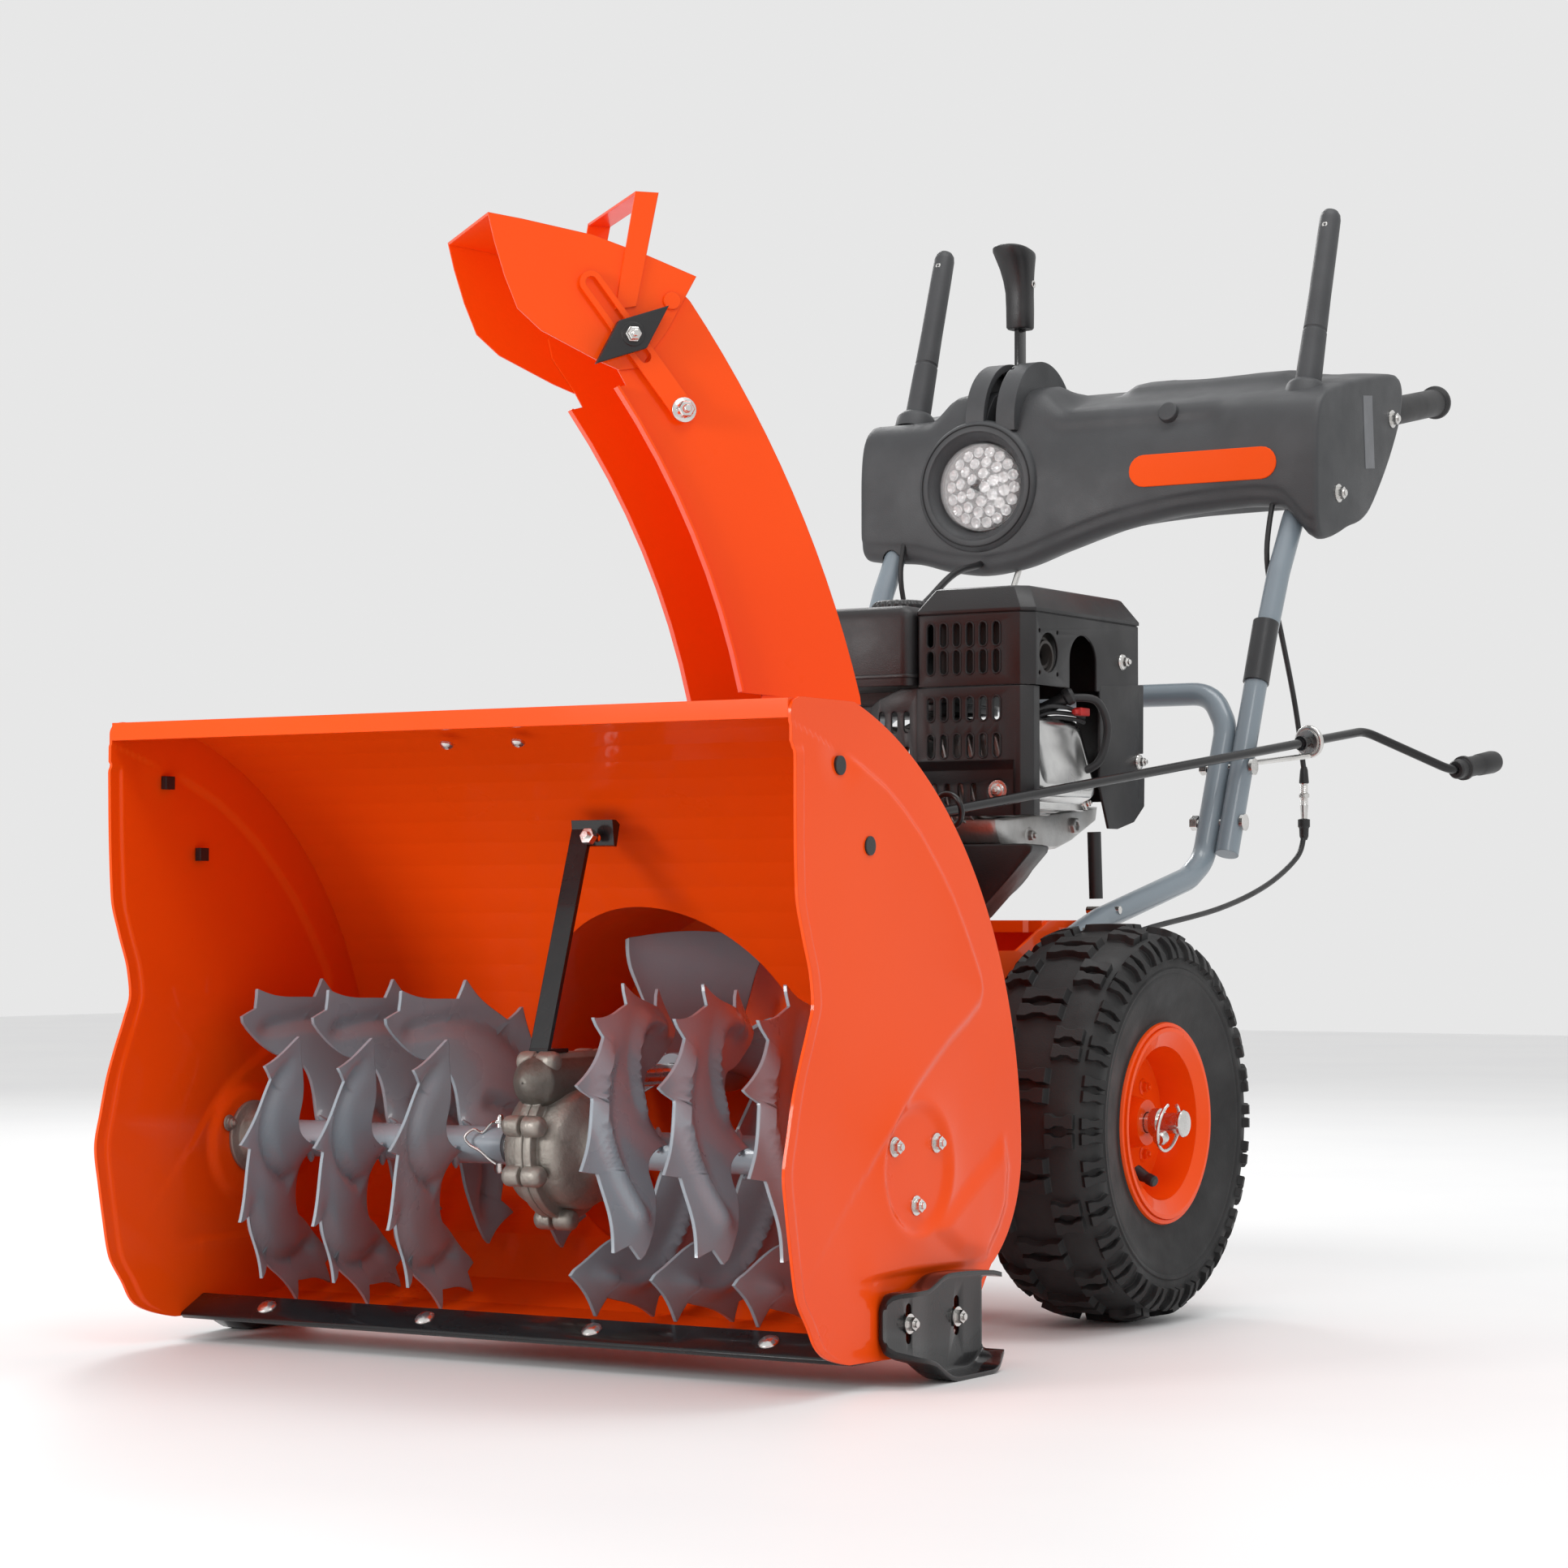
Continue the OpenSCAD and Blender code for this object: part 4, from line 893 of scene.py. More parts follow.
    bm = new()
    cushion(bm, (-185, 62), (800, 948), (612, 700), 30, 22)
    loft(bm, [[at(x, y, z) for x, y in rounded((-189, 66), (796, 952), 32)] for z in (640, 645)])
    loft(bm, [[at(x, y, z) for x, y in rounded((-175, 52), (812, 936), 26)] for z in (604, 614)])
    lathe(bm, at(*CAP, 696), (0, 0, 1), [(0, 34), (4, 30), (10, 24), (12, 24)], 40)
    piece("tank_shell", bm, "black_plastic", replaces=["fuel_tank"], bevel=0.8, angle=35)

    bm = new()
    ribs = [(31.0 - (1.4 if (k // 2) % 2 else 0.0), 2 * pi * k / 96) for k in range(96)]
    loft(bm, [[at(CAP[0] + (r - d) * cos(a), CAP[1] + (r - d) * sin(a), z) for r, a in ribs]
        for z, d in ((701, 1.5), (702.5, 0), (722, 0), (725.5, 3), (727, 8))])
    piece("cap_shell", bm, "black_plastic", "tank_cap", replaces=["fuel_cap"], angle=25)


make_engine_covers()


def tilted(x, y, z):
    """A point of the cylinder's own frame, which leans up from the crankshaft by 15 degrees."""
    a = radians(15)
    return at(x * cos(a) - z * sin(a), y, CRANKSHAFT_Z + x * sin(a) + z * cos(a))


def make_valve_gear():
    """Pressed valve cover with its bolts, plug boot and wires."""
    bm = new()
    outline = lambda i, r: rounded((722 + i, 866 - i), (-48 + i, 52 - i), r)
    rings = [(176, 0, 12), (179.5, 0, 12), (180, 5, 14), (181, 6.5, 14), (192, 8, 15), (196.5, 10, 15),
        (198, 14, 13), (198, 20, 10), (196.8, 22, 9), (196.8, 40, 4)]
    loft(bm, [[tilted(x, y, z) for y, z in outline(i, r)] for x, i, r in rings])
    piece("valve_cover_pressing", bm, "pressed_steel", replaces=["valve_cover"],
        angle=50)
    bm = new()
    direction = tilted(1, 0, 0) - tilted(0, 0, 0)
    for y in (729, 859):
        for z in (-41, 45):
            bolt(bm, tilted(180, y, z), direction, 3.6)
    piece("valve_cover_bolts", bm, "bright_steel")
    bm = new()
    lathe(bm, at(163, 812, 603), (0.87, 0.36, 0.48),
        [(-14, 8), (-4, 8), (0, 7), (14, 6.6), (22, 6.8), (24, 9), (30, 9), (33, 6)], 24)
    piece("plug_boot", bm, "soft_rubber")
    bm = new()
    block(bm, (188, 197), (826, 846), (596, 604))
    block(bm, (190, 195), (818, 828), (597, 602))
    piece("wire_clip", bm, "boot_red", bevel=1.0)
    bm = new()
    for z, y0, y1 in ((603, 770, 830), (597, 775, 850), (592, 780, 850)):
        sweep(bm, spline([at(150, y0, z - 14), at(172, y0 + 20, z), at(184, (y0 + y1) / 2 + 14, z + 1),
            at(188, y1, z - 2)]), 2.2, 10)
    piece("wire_bundle", bm, "soft_rubber")


make_valve_gear()


def make_engine_lower():
    """Crankcase with its ribs, oil sump, the black V cover under the shroud and the side panel."""
    bm = new()
    lathe(bm, at(0, 722, CRANKSHAFT_Z), (0, 1, 0), [(0, 60), (0, 84), (4, 88), (30, 88), (33, 82),
        (52, 82), (55, 88), (104, 88), (108, 82), (126, 82), (130, 88), (156, 88), (160, 82)], 56)
    piece("crankcase", bm, "engine_alloy", replaces=["engine_block"], angle=40)
    bm = new()
    for i in range(9):
        x = 84 + 10 * i
        loft(bm, [[tilted(h, y, z) for y, z in rounded((726, 850), (-44, 48), 12)] for h in (x, x + 2.6)])
    loft(bm, [[tilted(h, y, z) for y, z in rounded((736, 840), (-42, 42), 10)] for h in (60, 176)])
    piece("cylinder_fins", bm, "engine_alloy", bevel=0.6)
    bm = new()
    loft(bm, [[at(x, y, z) for x, y in rounded((-112 + i, 62 - i), (730 + i, 872 - i), 12)]
        for z, i in ((388, -6), (396, -6), (398, 0), (470, 4))])
    piece("crankcase_foot", bm, "hot_black", bevel=0.8)
    bm = new()
    sump = [(734, 489), (735, 480), (742, 466), (753, 459), (866, 461), (900, 470), (960, 494),
        (964, 508), (930, 506)]
    centre = (850.0, 486.0)
    loft(bm, [[at(x, centre[0] + (y - centre[0]) * k, centre[1] + (z - centre[1]) * k) for y, z in sump]
        for x, k in ((20, 1.0), (138, 1.0), (146, 0.97), (150, 0.9), (151, 0.8))])
    bolt(bm, at(150, 800, 474), (1, 0, 0), 5.0)
    lathe(bm, at(146, 896, 486), (1, 0, 0), [(0, 9), (9, 9), (10, 8), (10, 5), (6, 5)], 6)
    piece("oil_sump", bm, "engine_alloy", bevel=1.6, angle=50)
    bm = new()
    fold = [(-20, 390), (131, 390), (147, 406), (175, 434), (196, 456), (198, 462), (190, 464), (40, 464)]
    loft(bm, [[at(x - 1.4 * (y - 720) * 0.17 * (x > 100), y, z) for x, z in fold]
        for y in (718, 721, 760, 783)])
    piece("v_cover", bm, "black_plastic", bevel=2.0, angle=45)
    bm = new()
    panel = [(862, 628), (962, 634), (961, 562), (947, 561), (941, 553), (947, 545), (964, 541),
        (963, 507), (939, 490), (902, 482), (881, 482), (861, 525)]
    prism(bm, panel, "X", 197.2, 200.4)
    loft(bm, [[at(x, y, z) for x, z in rounded((128, 200), (512, 628), 5)] for y in (948, 951.5)])
    piece("side_panel_sheet", bm, "black_plastic", replaces=["side_panel"], bevel=0.8)
    bm = new()
    lathe(bm, at(0, 884, CRANKSHAFT_Z), (0, 1, 0), [(0, 100), (0, 104), (46, 104), (52, 101), (56, 95),
        (58, 80), (78, 76), (81, 72), (82, 60), (80, 54), (80, 30), (82, 26), (84, 20), (84, 4)], 72)
    louvres = new()
    for a in round_angles(28):
        side, out = Vector((-sin(a), 0, cos(a))), Vector((cos(a), 0, sin(a)))
        hub = at(0, 955, CRANKSHAFT_Z)
        ring = lambda d: [hub + out * (0.001 * r) + side * (0.001 * w * r / 60)
            + Vector((0, 0.001 * d, 0)) for r, w in ((34, -2.4), (68, -2.4), (68, 2.4), (34, 2.4))]
        loft(louvres, [ring(0), ring(30)])
    bm = carve(bm, louvres)
    block(bm, (-104, -62), (886, 945), (474, 588))
    lathe(bm, at(-82, 944, 560), (0, 1, 0), [(0, 15), (4, 13), (6, 10), (6, 4)], 32)
    piece("recoil_cover", bm, "black_plastic", replaces=["recoil_housing"], bevel=1.0, angle=40)


make_engine_lower()

# ---- gearbox -----------------------------------------------------------------------------------


GEARBOX_BOSS = [(0, 9.6), (13, 9.6), (16, 8.8), (18.5, 6.4), (19.5, 2.6)]


def make_gearbox():
    """Both castings of the worm gearbox, grease nipple, seals and the augers' shear pins."""
    for s, name in ((1, "gearbox_left"), (-1, "gearbox_right")):
        bm = new()
        top = 270.0
        around = [(AUGER[0] + 64 * cos(a), AUGER[1] + 64 * sin(a))
            for a in (radians(52 - 284 * k / 30) for k in range(31))]
        flange = around + [(AUGER[0] - 47, 236), (AUGER[0] - 50, 248), (AUGER[0] - 47, 262),
            (AUGER[0] - 40, top), (AUGER[0] + 44, top), (AUGER[0] + 58, 262), (AUGER[0] + 60, 244)]
        prism(bm, flange, "X", 0.4 * s, 9 * s)
        drum = new()
        lathe(drum, at(5 * s, *AUGER), (s, 0, 0), [(0, 54), (17, 54), (23, 51), (27, 45), (31, 34),
            (35, 28), (39, 25.5), (42, 24), (43, 17), (43, 10.4), (0, 10.4)], 56, caps=False)
        sleeve = new()
        lathe(sleeve, at(0, AUGER[0] - 60, SHAFT_Z), (0, 1, 0), [(-3, 1), (-2.4, 5), (0, 9), (2, 12),
            (7, 16), (9, 18), (12, 21), (14, 22.5), (116, 22.5), (120, 20)], 40)
        merge(bm, drum, sleeve)
        for a in (20, -40, -100, -160, 160):
            y, z = AUGER[0] + 64 * cos(radians(a)), AUGER[1] + 64 * sin(radians(a))
            lathe(bm, at(2 * s, y, z), (s, 0, 0), GEARBOX_BOSS, 24)
        for y in (AUGER[0] - 38, AUGER[0] + 46):
            lathe(bm, at(2 * s, y, 262), (s, 0, 0), GEARBOX_BOSS, 24)
        piece(name + "_casting", bm, "cast_metal", replaces=[name], bevel=0.9, angle=45)
    bm = new()
    lathe(bm, at(0, AUGER[0] - 26, 268), (0, 0, 1),
        [(0, 6), (6, 6), (6.5, 3), (9, 3), (10, 4.4), (13, 4.4), (15, 2.4), (17, 2.2)], 16)
    piece("grease_nipple", bm, "bright_steel")
    bm = new()
    for s in (1, -1):
        lathe(bm, at(44 * s, *AUGER), (s, 0, 0), [(0, 10.2), (0, 17.5), (7, 18.5), (8, 16), (8, 10.2)],
            36, caps=False)
    piece("shaft_seals", bm, "soft_rubber")
    bm = new()
    for s in (1, -1):
        y, z = AUGER
        clip = [at(s * 70, y, z + 21), at(s * 74, y - 8, z + 20), at(s * 80, y - 14, z + 12),
            at(s * 86, y - 20, z + 15), at(s * 92, y - 24, z + 8), at(s * 88, y - 22, z + 1),
            at(s * 80, y - 18, z - 4), at(s * 72, y - 14, z - 12), at(s * 66, y - 12, z - 16)]
        sweep(bm, spline(clip, 5), 1.3, 8)
        lathe(bm, at(s * 70, y, z - 25), (0, 0, 1), [(0, 4), (3, 5.4), (50, 3.6), (53, 2)], 16)
    piece("shear_pins", bm, "bright_steel", "augers")


make_gearbox()

# ---- console -----------------------------------------------------------------------------------

# Middles of the lamp and badge (x, z) and of the tray (x, y), and how far the shell goes to each side
LAMP = (-132.0, 888.0)
BADGE = (152.0, 892.0)
TRAY = (115.0, 1344.0)
CONSOLE_HALF = 290
UNDER = [(-300, 812), (-262, 806), (-222, 803), (-170, 790), (-128, 785), (-90, 789), (-30, 807),
    (50, 829), (130, 841), (205, 845), (244, 841), (264, 822), (280, 806), (300, 803)]


def interpolate(table, x):
    """Smooth reading of a list of (x, value) pairs, without overshoot."""
    x = min(max(x, table[0][0]), table[-1][0])
    slopes = [(b[1] - a[1]) / (b[0] - a[0]) for a, b in zip(table, table[1:])]
    bends = [slopes[0]] + [2 * p * q / (p + q) if p * q > 0 else 0.0
        for p, q in zip(slopes, slopes[1:])] + [slopes[-1]]
    i = next(k for k in range(len(slopes)) if x <= table[k + 1][0])
    (x0, a), (x1, b) = table[i], table[i + 1]
    h, t = x1 - x0, (x - x0) / (x1 - x0)
    return (a * (1 + 2 * t) * (1 - t) ** 2 + b * t * t * (3 - 2 * t)
        + h * t * (1 - t) * (bends[i] * (1 - t) - bends[i + 1] * t))


def soft_bump(x, lo, hi, edge):
    """1 between lo and hi, falling smoothly to 0 over edge on both sides."""
    t = min(1.0, max(0.0, (x - lo + edge) / edge)) * min(1.0, max(0.0, (hi + edge - x) / edge))
    return t * t * (3 - 2 * t)


def console_section(x):
    """The (y, z) outline of the console at x, from the front lower lip over the top to the rear lip."""
    low = interpolate(UNDER, x)
    near = soft_bump(x, 262, 330, 26)
    pocket = soft_bump(x, -38, 150, 40)
    tray = soft_bump(x, 28, 205, 22)
    plateau = 24 * soft_bump(x, -176, -66, 34)
    top = 1000 - 10 * (1 - soft_bump(x, -150, 230, 120))
    rear_low = 832 + 12 * soft_bump(x, -200, 240, 60)
    return [(1228, low), (1218, low + 2), (1211.5, low + 9), (1210, low + 20), (1207.5, low + 25),
        (1207.5, low + 62), (1207.5 + 3 * pocket, 905), (1210 + 9 * pocket, 930),
        (1214 + 14 * pocket, 946 + 0.3 * plateau), (1222 + 6 * pocket, 960 + 0.6 * plateau),
        (1238, 972 + plateau), (1262, top - 20 + 4 * near + plateau), (1284,
        top - 11 + 2 * tray + 0.8 * plateau), (1296, top - 7 + 11 * tray + 0.5 * plateau),
        (1340, top + 2 + 12 * tray), (1392, top + 12 + 4 * tray), (1436, top + 19), (1452, top + 14),
        (1458, top), (1450, 962), (1412, 907), (1360, 850), (1330, max(rear_low, low + 24)),
        (1296, max(rear_low - 8, low + 17)), (1262, low + 8), ]


def make_console():
    """The moulded shell, its lamp, badge, collars and boss."""
    xs = [-CONSOLE_HALF + 2 * CONSOLE_HALF * k / 72 for k in range(1, 72)]
    ends = [(-CONSOLE_HALF, 5.0), (-289, 2.2), (-286.5, 0.6)]
    bm = new()
    rings = []

    def ring(x, inset):
        section = console_section(x)
        cy = sum(p[0] for p in section) / len(section)
        cz = sum(p[1] for p in section) / len(section)
        pts = [(y - (y - cy) * inset / 90.0, z - (z - cz) * inset / 90.0) for y, z in section]
        for _ in range(2):
            cut = []
            for a, b in zip(pts, pts[1:] + pts[:1]):
                cut += [(a[0] * 0.78 + b[0] * 0.22, a[1] * 0.78 + b[1] * 0.22),
                    (a[0] * 0.22 + b[0] * 0.78, a[1] * 0.22 + b[1] * 0.78)]
            pts = cut
        return [at(x, y, z) for y, z in pts]

    for x, inset in ends:
        rings.append(ring(x, inset))
    for x in xs:
        if -286 < x < 286:
            rings.append(ring(x, 0.0))
    for x, inset in reversed(ends):
        rings.append(ring(-x, inset))
    loft(bm, rings)

    housing = new()
    lathe(housing, at(LAMP[0], 1240, LAMP[1]), (0, -1, 0),
        [(0, 78), (28, 77), (34, 75.5), (37, 73), (38.6, 69), (38.8, 64)], 72)
    bm = carve(bm, housing, "UNION")
    well = new()
    lathe(well, at(LAMP[0], 1190, LAMP[1]), (0, 1, 0),
        [(0, 64), (11.5, 63), (14, 60), (20, 55), (27, 52.6), (90, 52.4)], 64)
    bm = carve(bm, well)
    opening = new()
    block(opening, (-126, -104), (1216, 1350), (958, 1060))
    bm = carve(bm, opening)
    tubes = new()
    for s in (1, -1):
        path = [at(HANDLE_X * s, 1167, 712), at(HANDLE_X * s, 1194, 768), at(HANDLE_X * s, 1239, 839),
            at(HANDLE_X * s, 1280, 870)]
        sweep(tubes, fillet(path, 0.09), 14.0, 24)
        sweep(tubes, [at(HANDLE_X * s, 1400, 958), at(HANDLE_X * s, 1440, 968),
            at(HANDLE_X * s, 1490, 978)], 17.0, 24)
    bm = carve(bm, tubes)
    tray = new()
    loft(tray, [[at(TRAY[0] + rx * cos(t), TRAY[1] + ry * sin(t), z) for t in round_angles(48)]
        for rx, ry, z in ((44, 30, 990), (58, 38, 1006), (62, 41, 1040))])
    bm = carve(bm, tray)
    piece("console_shell", bm, "dark_plastic", replaces=["console"], angle=50)

    bm = new()
    # A near-black ring in the groove round the lamp, painted shade in the recess.
    ring = [at(LAMP[0] + 70 * cos(t), 1201.4, LAMP[1] + 70 * sin(t)) for t in round_angles(72, 73)]
    sweep(bm, ring, 0.9, 6, caps=False)
    piece("lamp_groove_shade", bm, "inner_black")

    bm = new()
    outline = stadium(*BADGE, 180, 36, 10)
    rings = [[at(BADGE[0] + (x - BADGE[0]) * k, d, BADGE[1] + (z - BADGE[1]) * m) for x, z in outline]
        for k, m, d in ((1.0, 1.0, 1210.0), (1.0, 1.0, 1206.6), (0.994, 0.97, 1206.1))]
    loft(bm, rings)
    piece("badge_plain", bm, "badge_orange")

    bm = new()
    prism(bm, [(1336, 977), (1362, 980), (1368, 898), (1342, 895)], "X", 289.5, 290.4)
    piece("side_strip", bm, "decal_grey")

    bm = new()
    lathe(bm, at(101, 1240, 955), (0, -1, 0.35), [(0, 12), (13, 12), (16, 11), (17, 8)], 32)
    piece("console_boss", bm, "dark_plastic")

    bm = new()
    for s in (1, -1):
        lathe(bm, at(HANDLE_X * s, 1267, 966), (0, 0.315, 0.95),
            [(0, 24), (14, 23), (18, 21), (20, 19), (20, 16), (8, 16)], 40, caps=False)
    piece("lever_collars", bm, "dark_plastic")

    # The bowl and cells take the mirror material, whose cell borders carry painted shade.
    bm = new()
    lathe(bm, at(LAMP[0], 1250, LAMP[1]), (0, -1, 0),
        [(0, 50), (4, 50), (18, 46), (24, 49.5), (30, 50.5), (31, 50)], 56, caps=False)
    piece("lamp_bowl", bm, "mirror", replaces=["head_lamp"])
    bm = new()
    for ring_r, count in ((0, 1), (13, 6), (26, 12), (38, 18)):
        for k in range(count):
            a = 2 * pi * k / count + ring_r
            centre = at(LAMP[0] + ring_r * cos(a), 1231 + 2 * (ring_r / 38) ** 2,
                LAMP[1] + ring_r * sin(a))
            lathe(bm, centre, (0.25 * cos(a), -1, 0.25 * sin(a)),
                [(0, 3.0), (7, 5.4), (14, 6.9), (14.6, 6.2), (12, 2.0)], 8)
    piece("lamp_cells", bm, "mirror", angle=15)
    bm = new()
    lathe(bm, at(LAMP[0], 1222, LAMP[1]), (0, -1, 0), [(0, 51.6), (10, 51.4), (15, 49), (17.5, 40),
        (19, 24), (19.4, 8), (17.2, 8), (16.8, 24), (15.3, 40), (13, 47.6), (9, 49.8), (0, 50)], 56)
    piece("lamp_lens", bm, "lens")


make_console()

# ---- hand controls -----------------------------------------------------------------------------


LEVER_FOOT = (1262.0, 945.0)


def make_levers():
    """The two clutch levers with their screws, and the grips on the handle ends."""
    for s, body in ((1, "left_clutch_lever"), (-1, "right_clutch_lever")):
        bm = new()
        foot, tip = at(HANDLE_X * s, *LEVER_FOOT), at(HANDLE_X * s, 1340, 1180)
        axis = tip - foot
        length = axis.length * 1000
        marks = [(0, 15), (26, 16), (60, 15.6), (106, 14.6), (107, 13.4), (109, 13.4), (110, 14.3),
            (150, 13.6), (220, 13.2), (length, 12.8), (length + 6, 11.6), (length + 10, 8.6),
            (length + 12.4, 3.5)]
        lathe(bm, foot, axis, marks, 32)
        for v in bm.verts:
            d = v.co.x - 0.25 * s
            v.co.x = 0.25 * s + d * 0.92
        lathe(bm, at(236 * s, *LEVER_FOOT), (s, 0, 0), [(0, 14), (28, 14)], 32)
        piece(body + "_shape", bm, "dark_plastic", body,
            replaces=["clutch_lever_" + body.split("_")[0]], angle=40)
        bm = new()
        front = Vector((0.0, -axis.z, axis.y)).normalized()
        spot = tip + front * 0.0122 - axis.normalized() * 0.012
        lathe(bm, spot, front, [(0, 3.4), (0.6, 3.2), (0.8, 1.6), (-0.4, 1.4)], 16)
        piece(body + "_screw", bm, "bright_steel", body)

    bm = new()
    for s in (1, -1):
        start, end = at(HANDLE_X * s, 1455, 970.9), at(HANDLE_X * s, 1653, 1010)
        axis = end - start
        n = axis.length * 1000
        lathe(bm, start, axis, [(0, 13), (0, 16), (2, 16.8), (n - 8, 16.3), (n - 6, 19.4), (n - 2, 20),
            (n, 18.6), (n + 0.5, 12)], 36)
    piece("grip_sleeves", bm, "soft_rubber", replaces=["handle_grips"])


make_levers()

SHIFT = (-115.0, 1280.0, 962.0)
SQUARENESS = 2.6


def make_shift_lever():
    """Shift blade, its flared knob, and the click teeth in the quadrant."""
    bm = new()
    x, y, z = SHIFT
    prism(bm, [(y - 9, z + 10), (y + 9, z + 10), (y + 9, 1096), (y - 9, 1096)], "X", x - 3.0, x + 3.0)
    lathe(bm, at(x - 5, y, z), (1, 0, 0), [(0, 12), (0, 16), (10, 16), (10, 12)], 36, caps=False)
    piece("shift_blade", bm, "black_paint", "gear_lever", bevel=0.6)
    bm = new()
    rings = []
    for t, rx, ry, lean in ((0.0, 13.5, 14, 0), (0.02, 15, 15.4, 0), (0.25, 15.4, 15.4, 0),
            (0.45, 15.8, 15.0, -1.0), (0.6, 17.0, 16.4, -3.6), (0.74, 19.0, 19.0, -7.0),
            (0.85, 21.0, 23.0, -11.0), (0.93, 22.4, 26.4, -14.0), (0.97, 22.2, 26.4, -14.6),
            (0.99, 20.4, 24.4, -14.8), (1.0, 16.6, 20.8, -14.8)):
        height = 1078 + 92 * t
        tilt = 9.0 * t
        ring = []
        for a in round_angles(40):
            c, q = cos(a), sin(a)
            rr = (abs(c) ** SQUARENESS + abs(q) ** SQUARENESS) ** (-1 / SQUARENESS)
            dy = ry * rr * q
            ring.append(at(x + rx * rr * c, y + lean + dy, height + tilt * dy / 22 * -0.35))
        rings.append(ring)
    loft(bm, rings)
    piece("shift_knob", bm, "black_plastic", "gear_lever", replaces=["shift_lever"], angle=50)
    bm = new()
    lathe(bm, at(x + 16.4, y + 2, 1130), (1, 0, 0), [(0, 4.6), (0.8, 4.4), (0.9, 2.6), (0.0, 2.2)], 16)
    piece("knob_screw", bm, "bright_steel", "gear_lever")
    bm = new()
    for s in (-1, 1):
        for k in range(7):
            a = radians(-34 + 11 * k)
            spot = at(x + 20 * s, y + 66 * sin(a), z + 66 * cos(a))
            lathe(bm, spot - Vector((0.009, 0, 0)), (1, 0, 0), [(0, 3.4), (14, 3.4), (15, 2.6)], 12)
    piece("quadrant_teeth", bm, "dark_plastic")


make_shift_lever()

# ---- chute crank -------------------------------------------------------------------------------

CHUTE_X, CHUTE_Y = 57.0, 430.0
CHUTE_TURN = radians(-40)
MESH_TURN = radians(9.1)
MESH_AT = at(CHUTE_X + 105 * cos(MESH_TURN), CHUTE_Y - 105 * sin(MESH_TURN), 470)
EYE_AT = at(287, 1190, 582)
ROD = (EYE_AT - MESH_AT).normalized()
LEAN = Vector((0.77, -0.09, -0.64))
LEAN = (LEAN - LEAN.dot(ROD) * ROD).normalized()
CRANK_END = EYE_AT + 0.182 * ROD + 0.084 * LEAN


def make_crank():
    """The crank rod with its worm and collar, and the grip on its end."""
    bm = new()
    path = [MESH_AT - 0.062 * ROD, EYE_AT + 0.112 * ROD, CRANK_END, CRANK_END + 0.1 * ROD]
    sweep(bm, fillet(path, 0.03), 5.0, 20)
    u, v = frame_of(ROD)[:2]
    turns, steps, lead = 1.5, 72, 2 * pi * 92 / 12 * 0.001
    rings = []
    for k in range(steps + 1):
        t = k / steps
        a = 2 * pi * turns * t
        centre = MESH_AT + ROD * (lead * turns * (t - 0.5))
        side, up = u * cos(a) + v * sin(a), v * cos(a) - u * sin(a)
        rings.append([centre + 0.001 * (p * side + q * up) for p, q in ((-16, -4.2), (-8, -3.4),
            (8, -3.4), (16, -4.2), (16, 4.2), (8, 3.4), (-8, 3.4), (-16, 4.2))])
    loft(bm, rings)
    lathe(bm, EYE_AT - ROD * 0.018, ROD, [(0, 8), (3.5, 8), (4, 7)], 24)
    piece("crank_bar", bm, "black_paint", "chute_crank", replaces=["crank_rod"], angle=40)
    bm = new()
    lathe(bm, CRANK_END + ROD * 0.008, ROD, [(0, 5.1), (0, 9), (2, 10.5), (14, 11), (15, 13.6),
        (19, 13.8), (20, 11.6), (48, 11.2), (50, 12.2), (78, 12.8), (84, 12), (86, 9), (86, 5.1)], 32,
        caps=False)
    piece("crank_sleeve", bm, "black_plastic", "crank_handgrip",
        replaces=["crank_grip"])


make_crank()

# ---- cables ------------------------------------------------------------------------------------


def length_of(path):
    return sum((b - a).length for a, b in zip(path, path[1:]))


def make_cord(name, points, radius, body,
        replaces=()):
    path = spline([at(*p) for p in points])
    bm = new()
    sweep(bm, path, radius, 12)
    obj = piece(name, bm, "soft_rubber", body, replaces=replaces)
    tuple(path[0])
    length_of(path)
    [tuple(p) for p in path]
    return obj


CABLE_X = 232.0


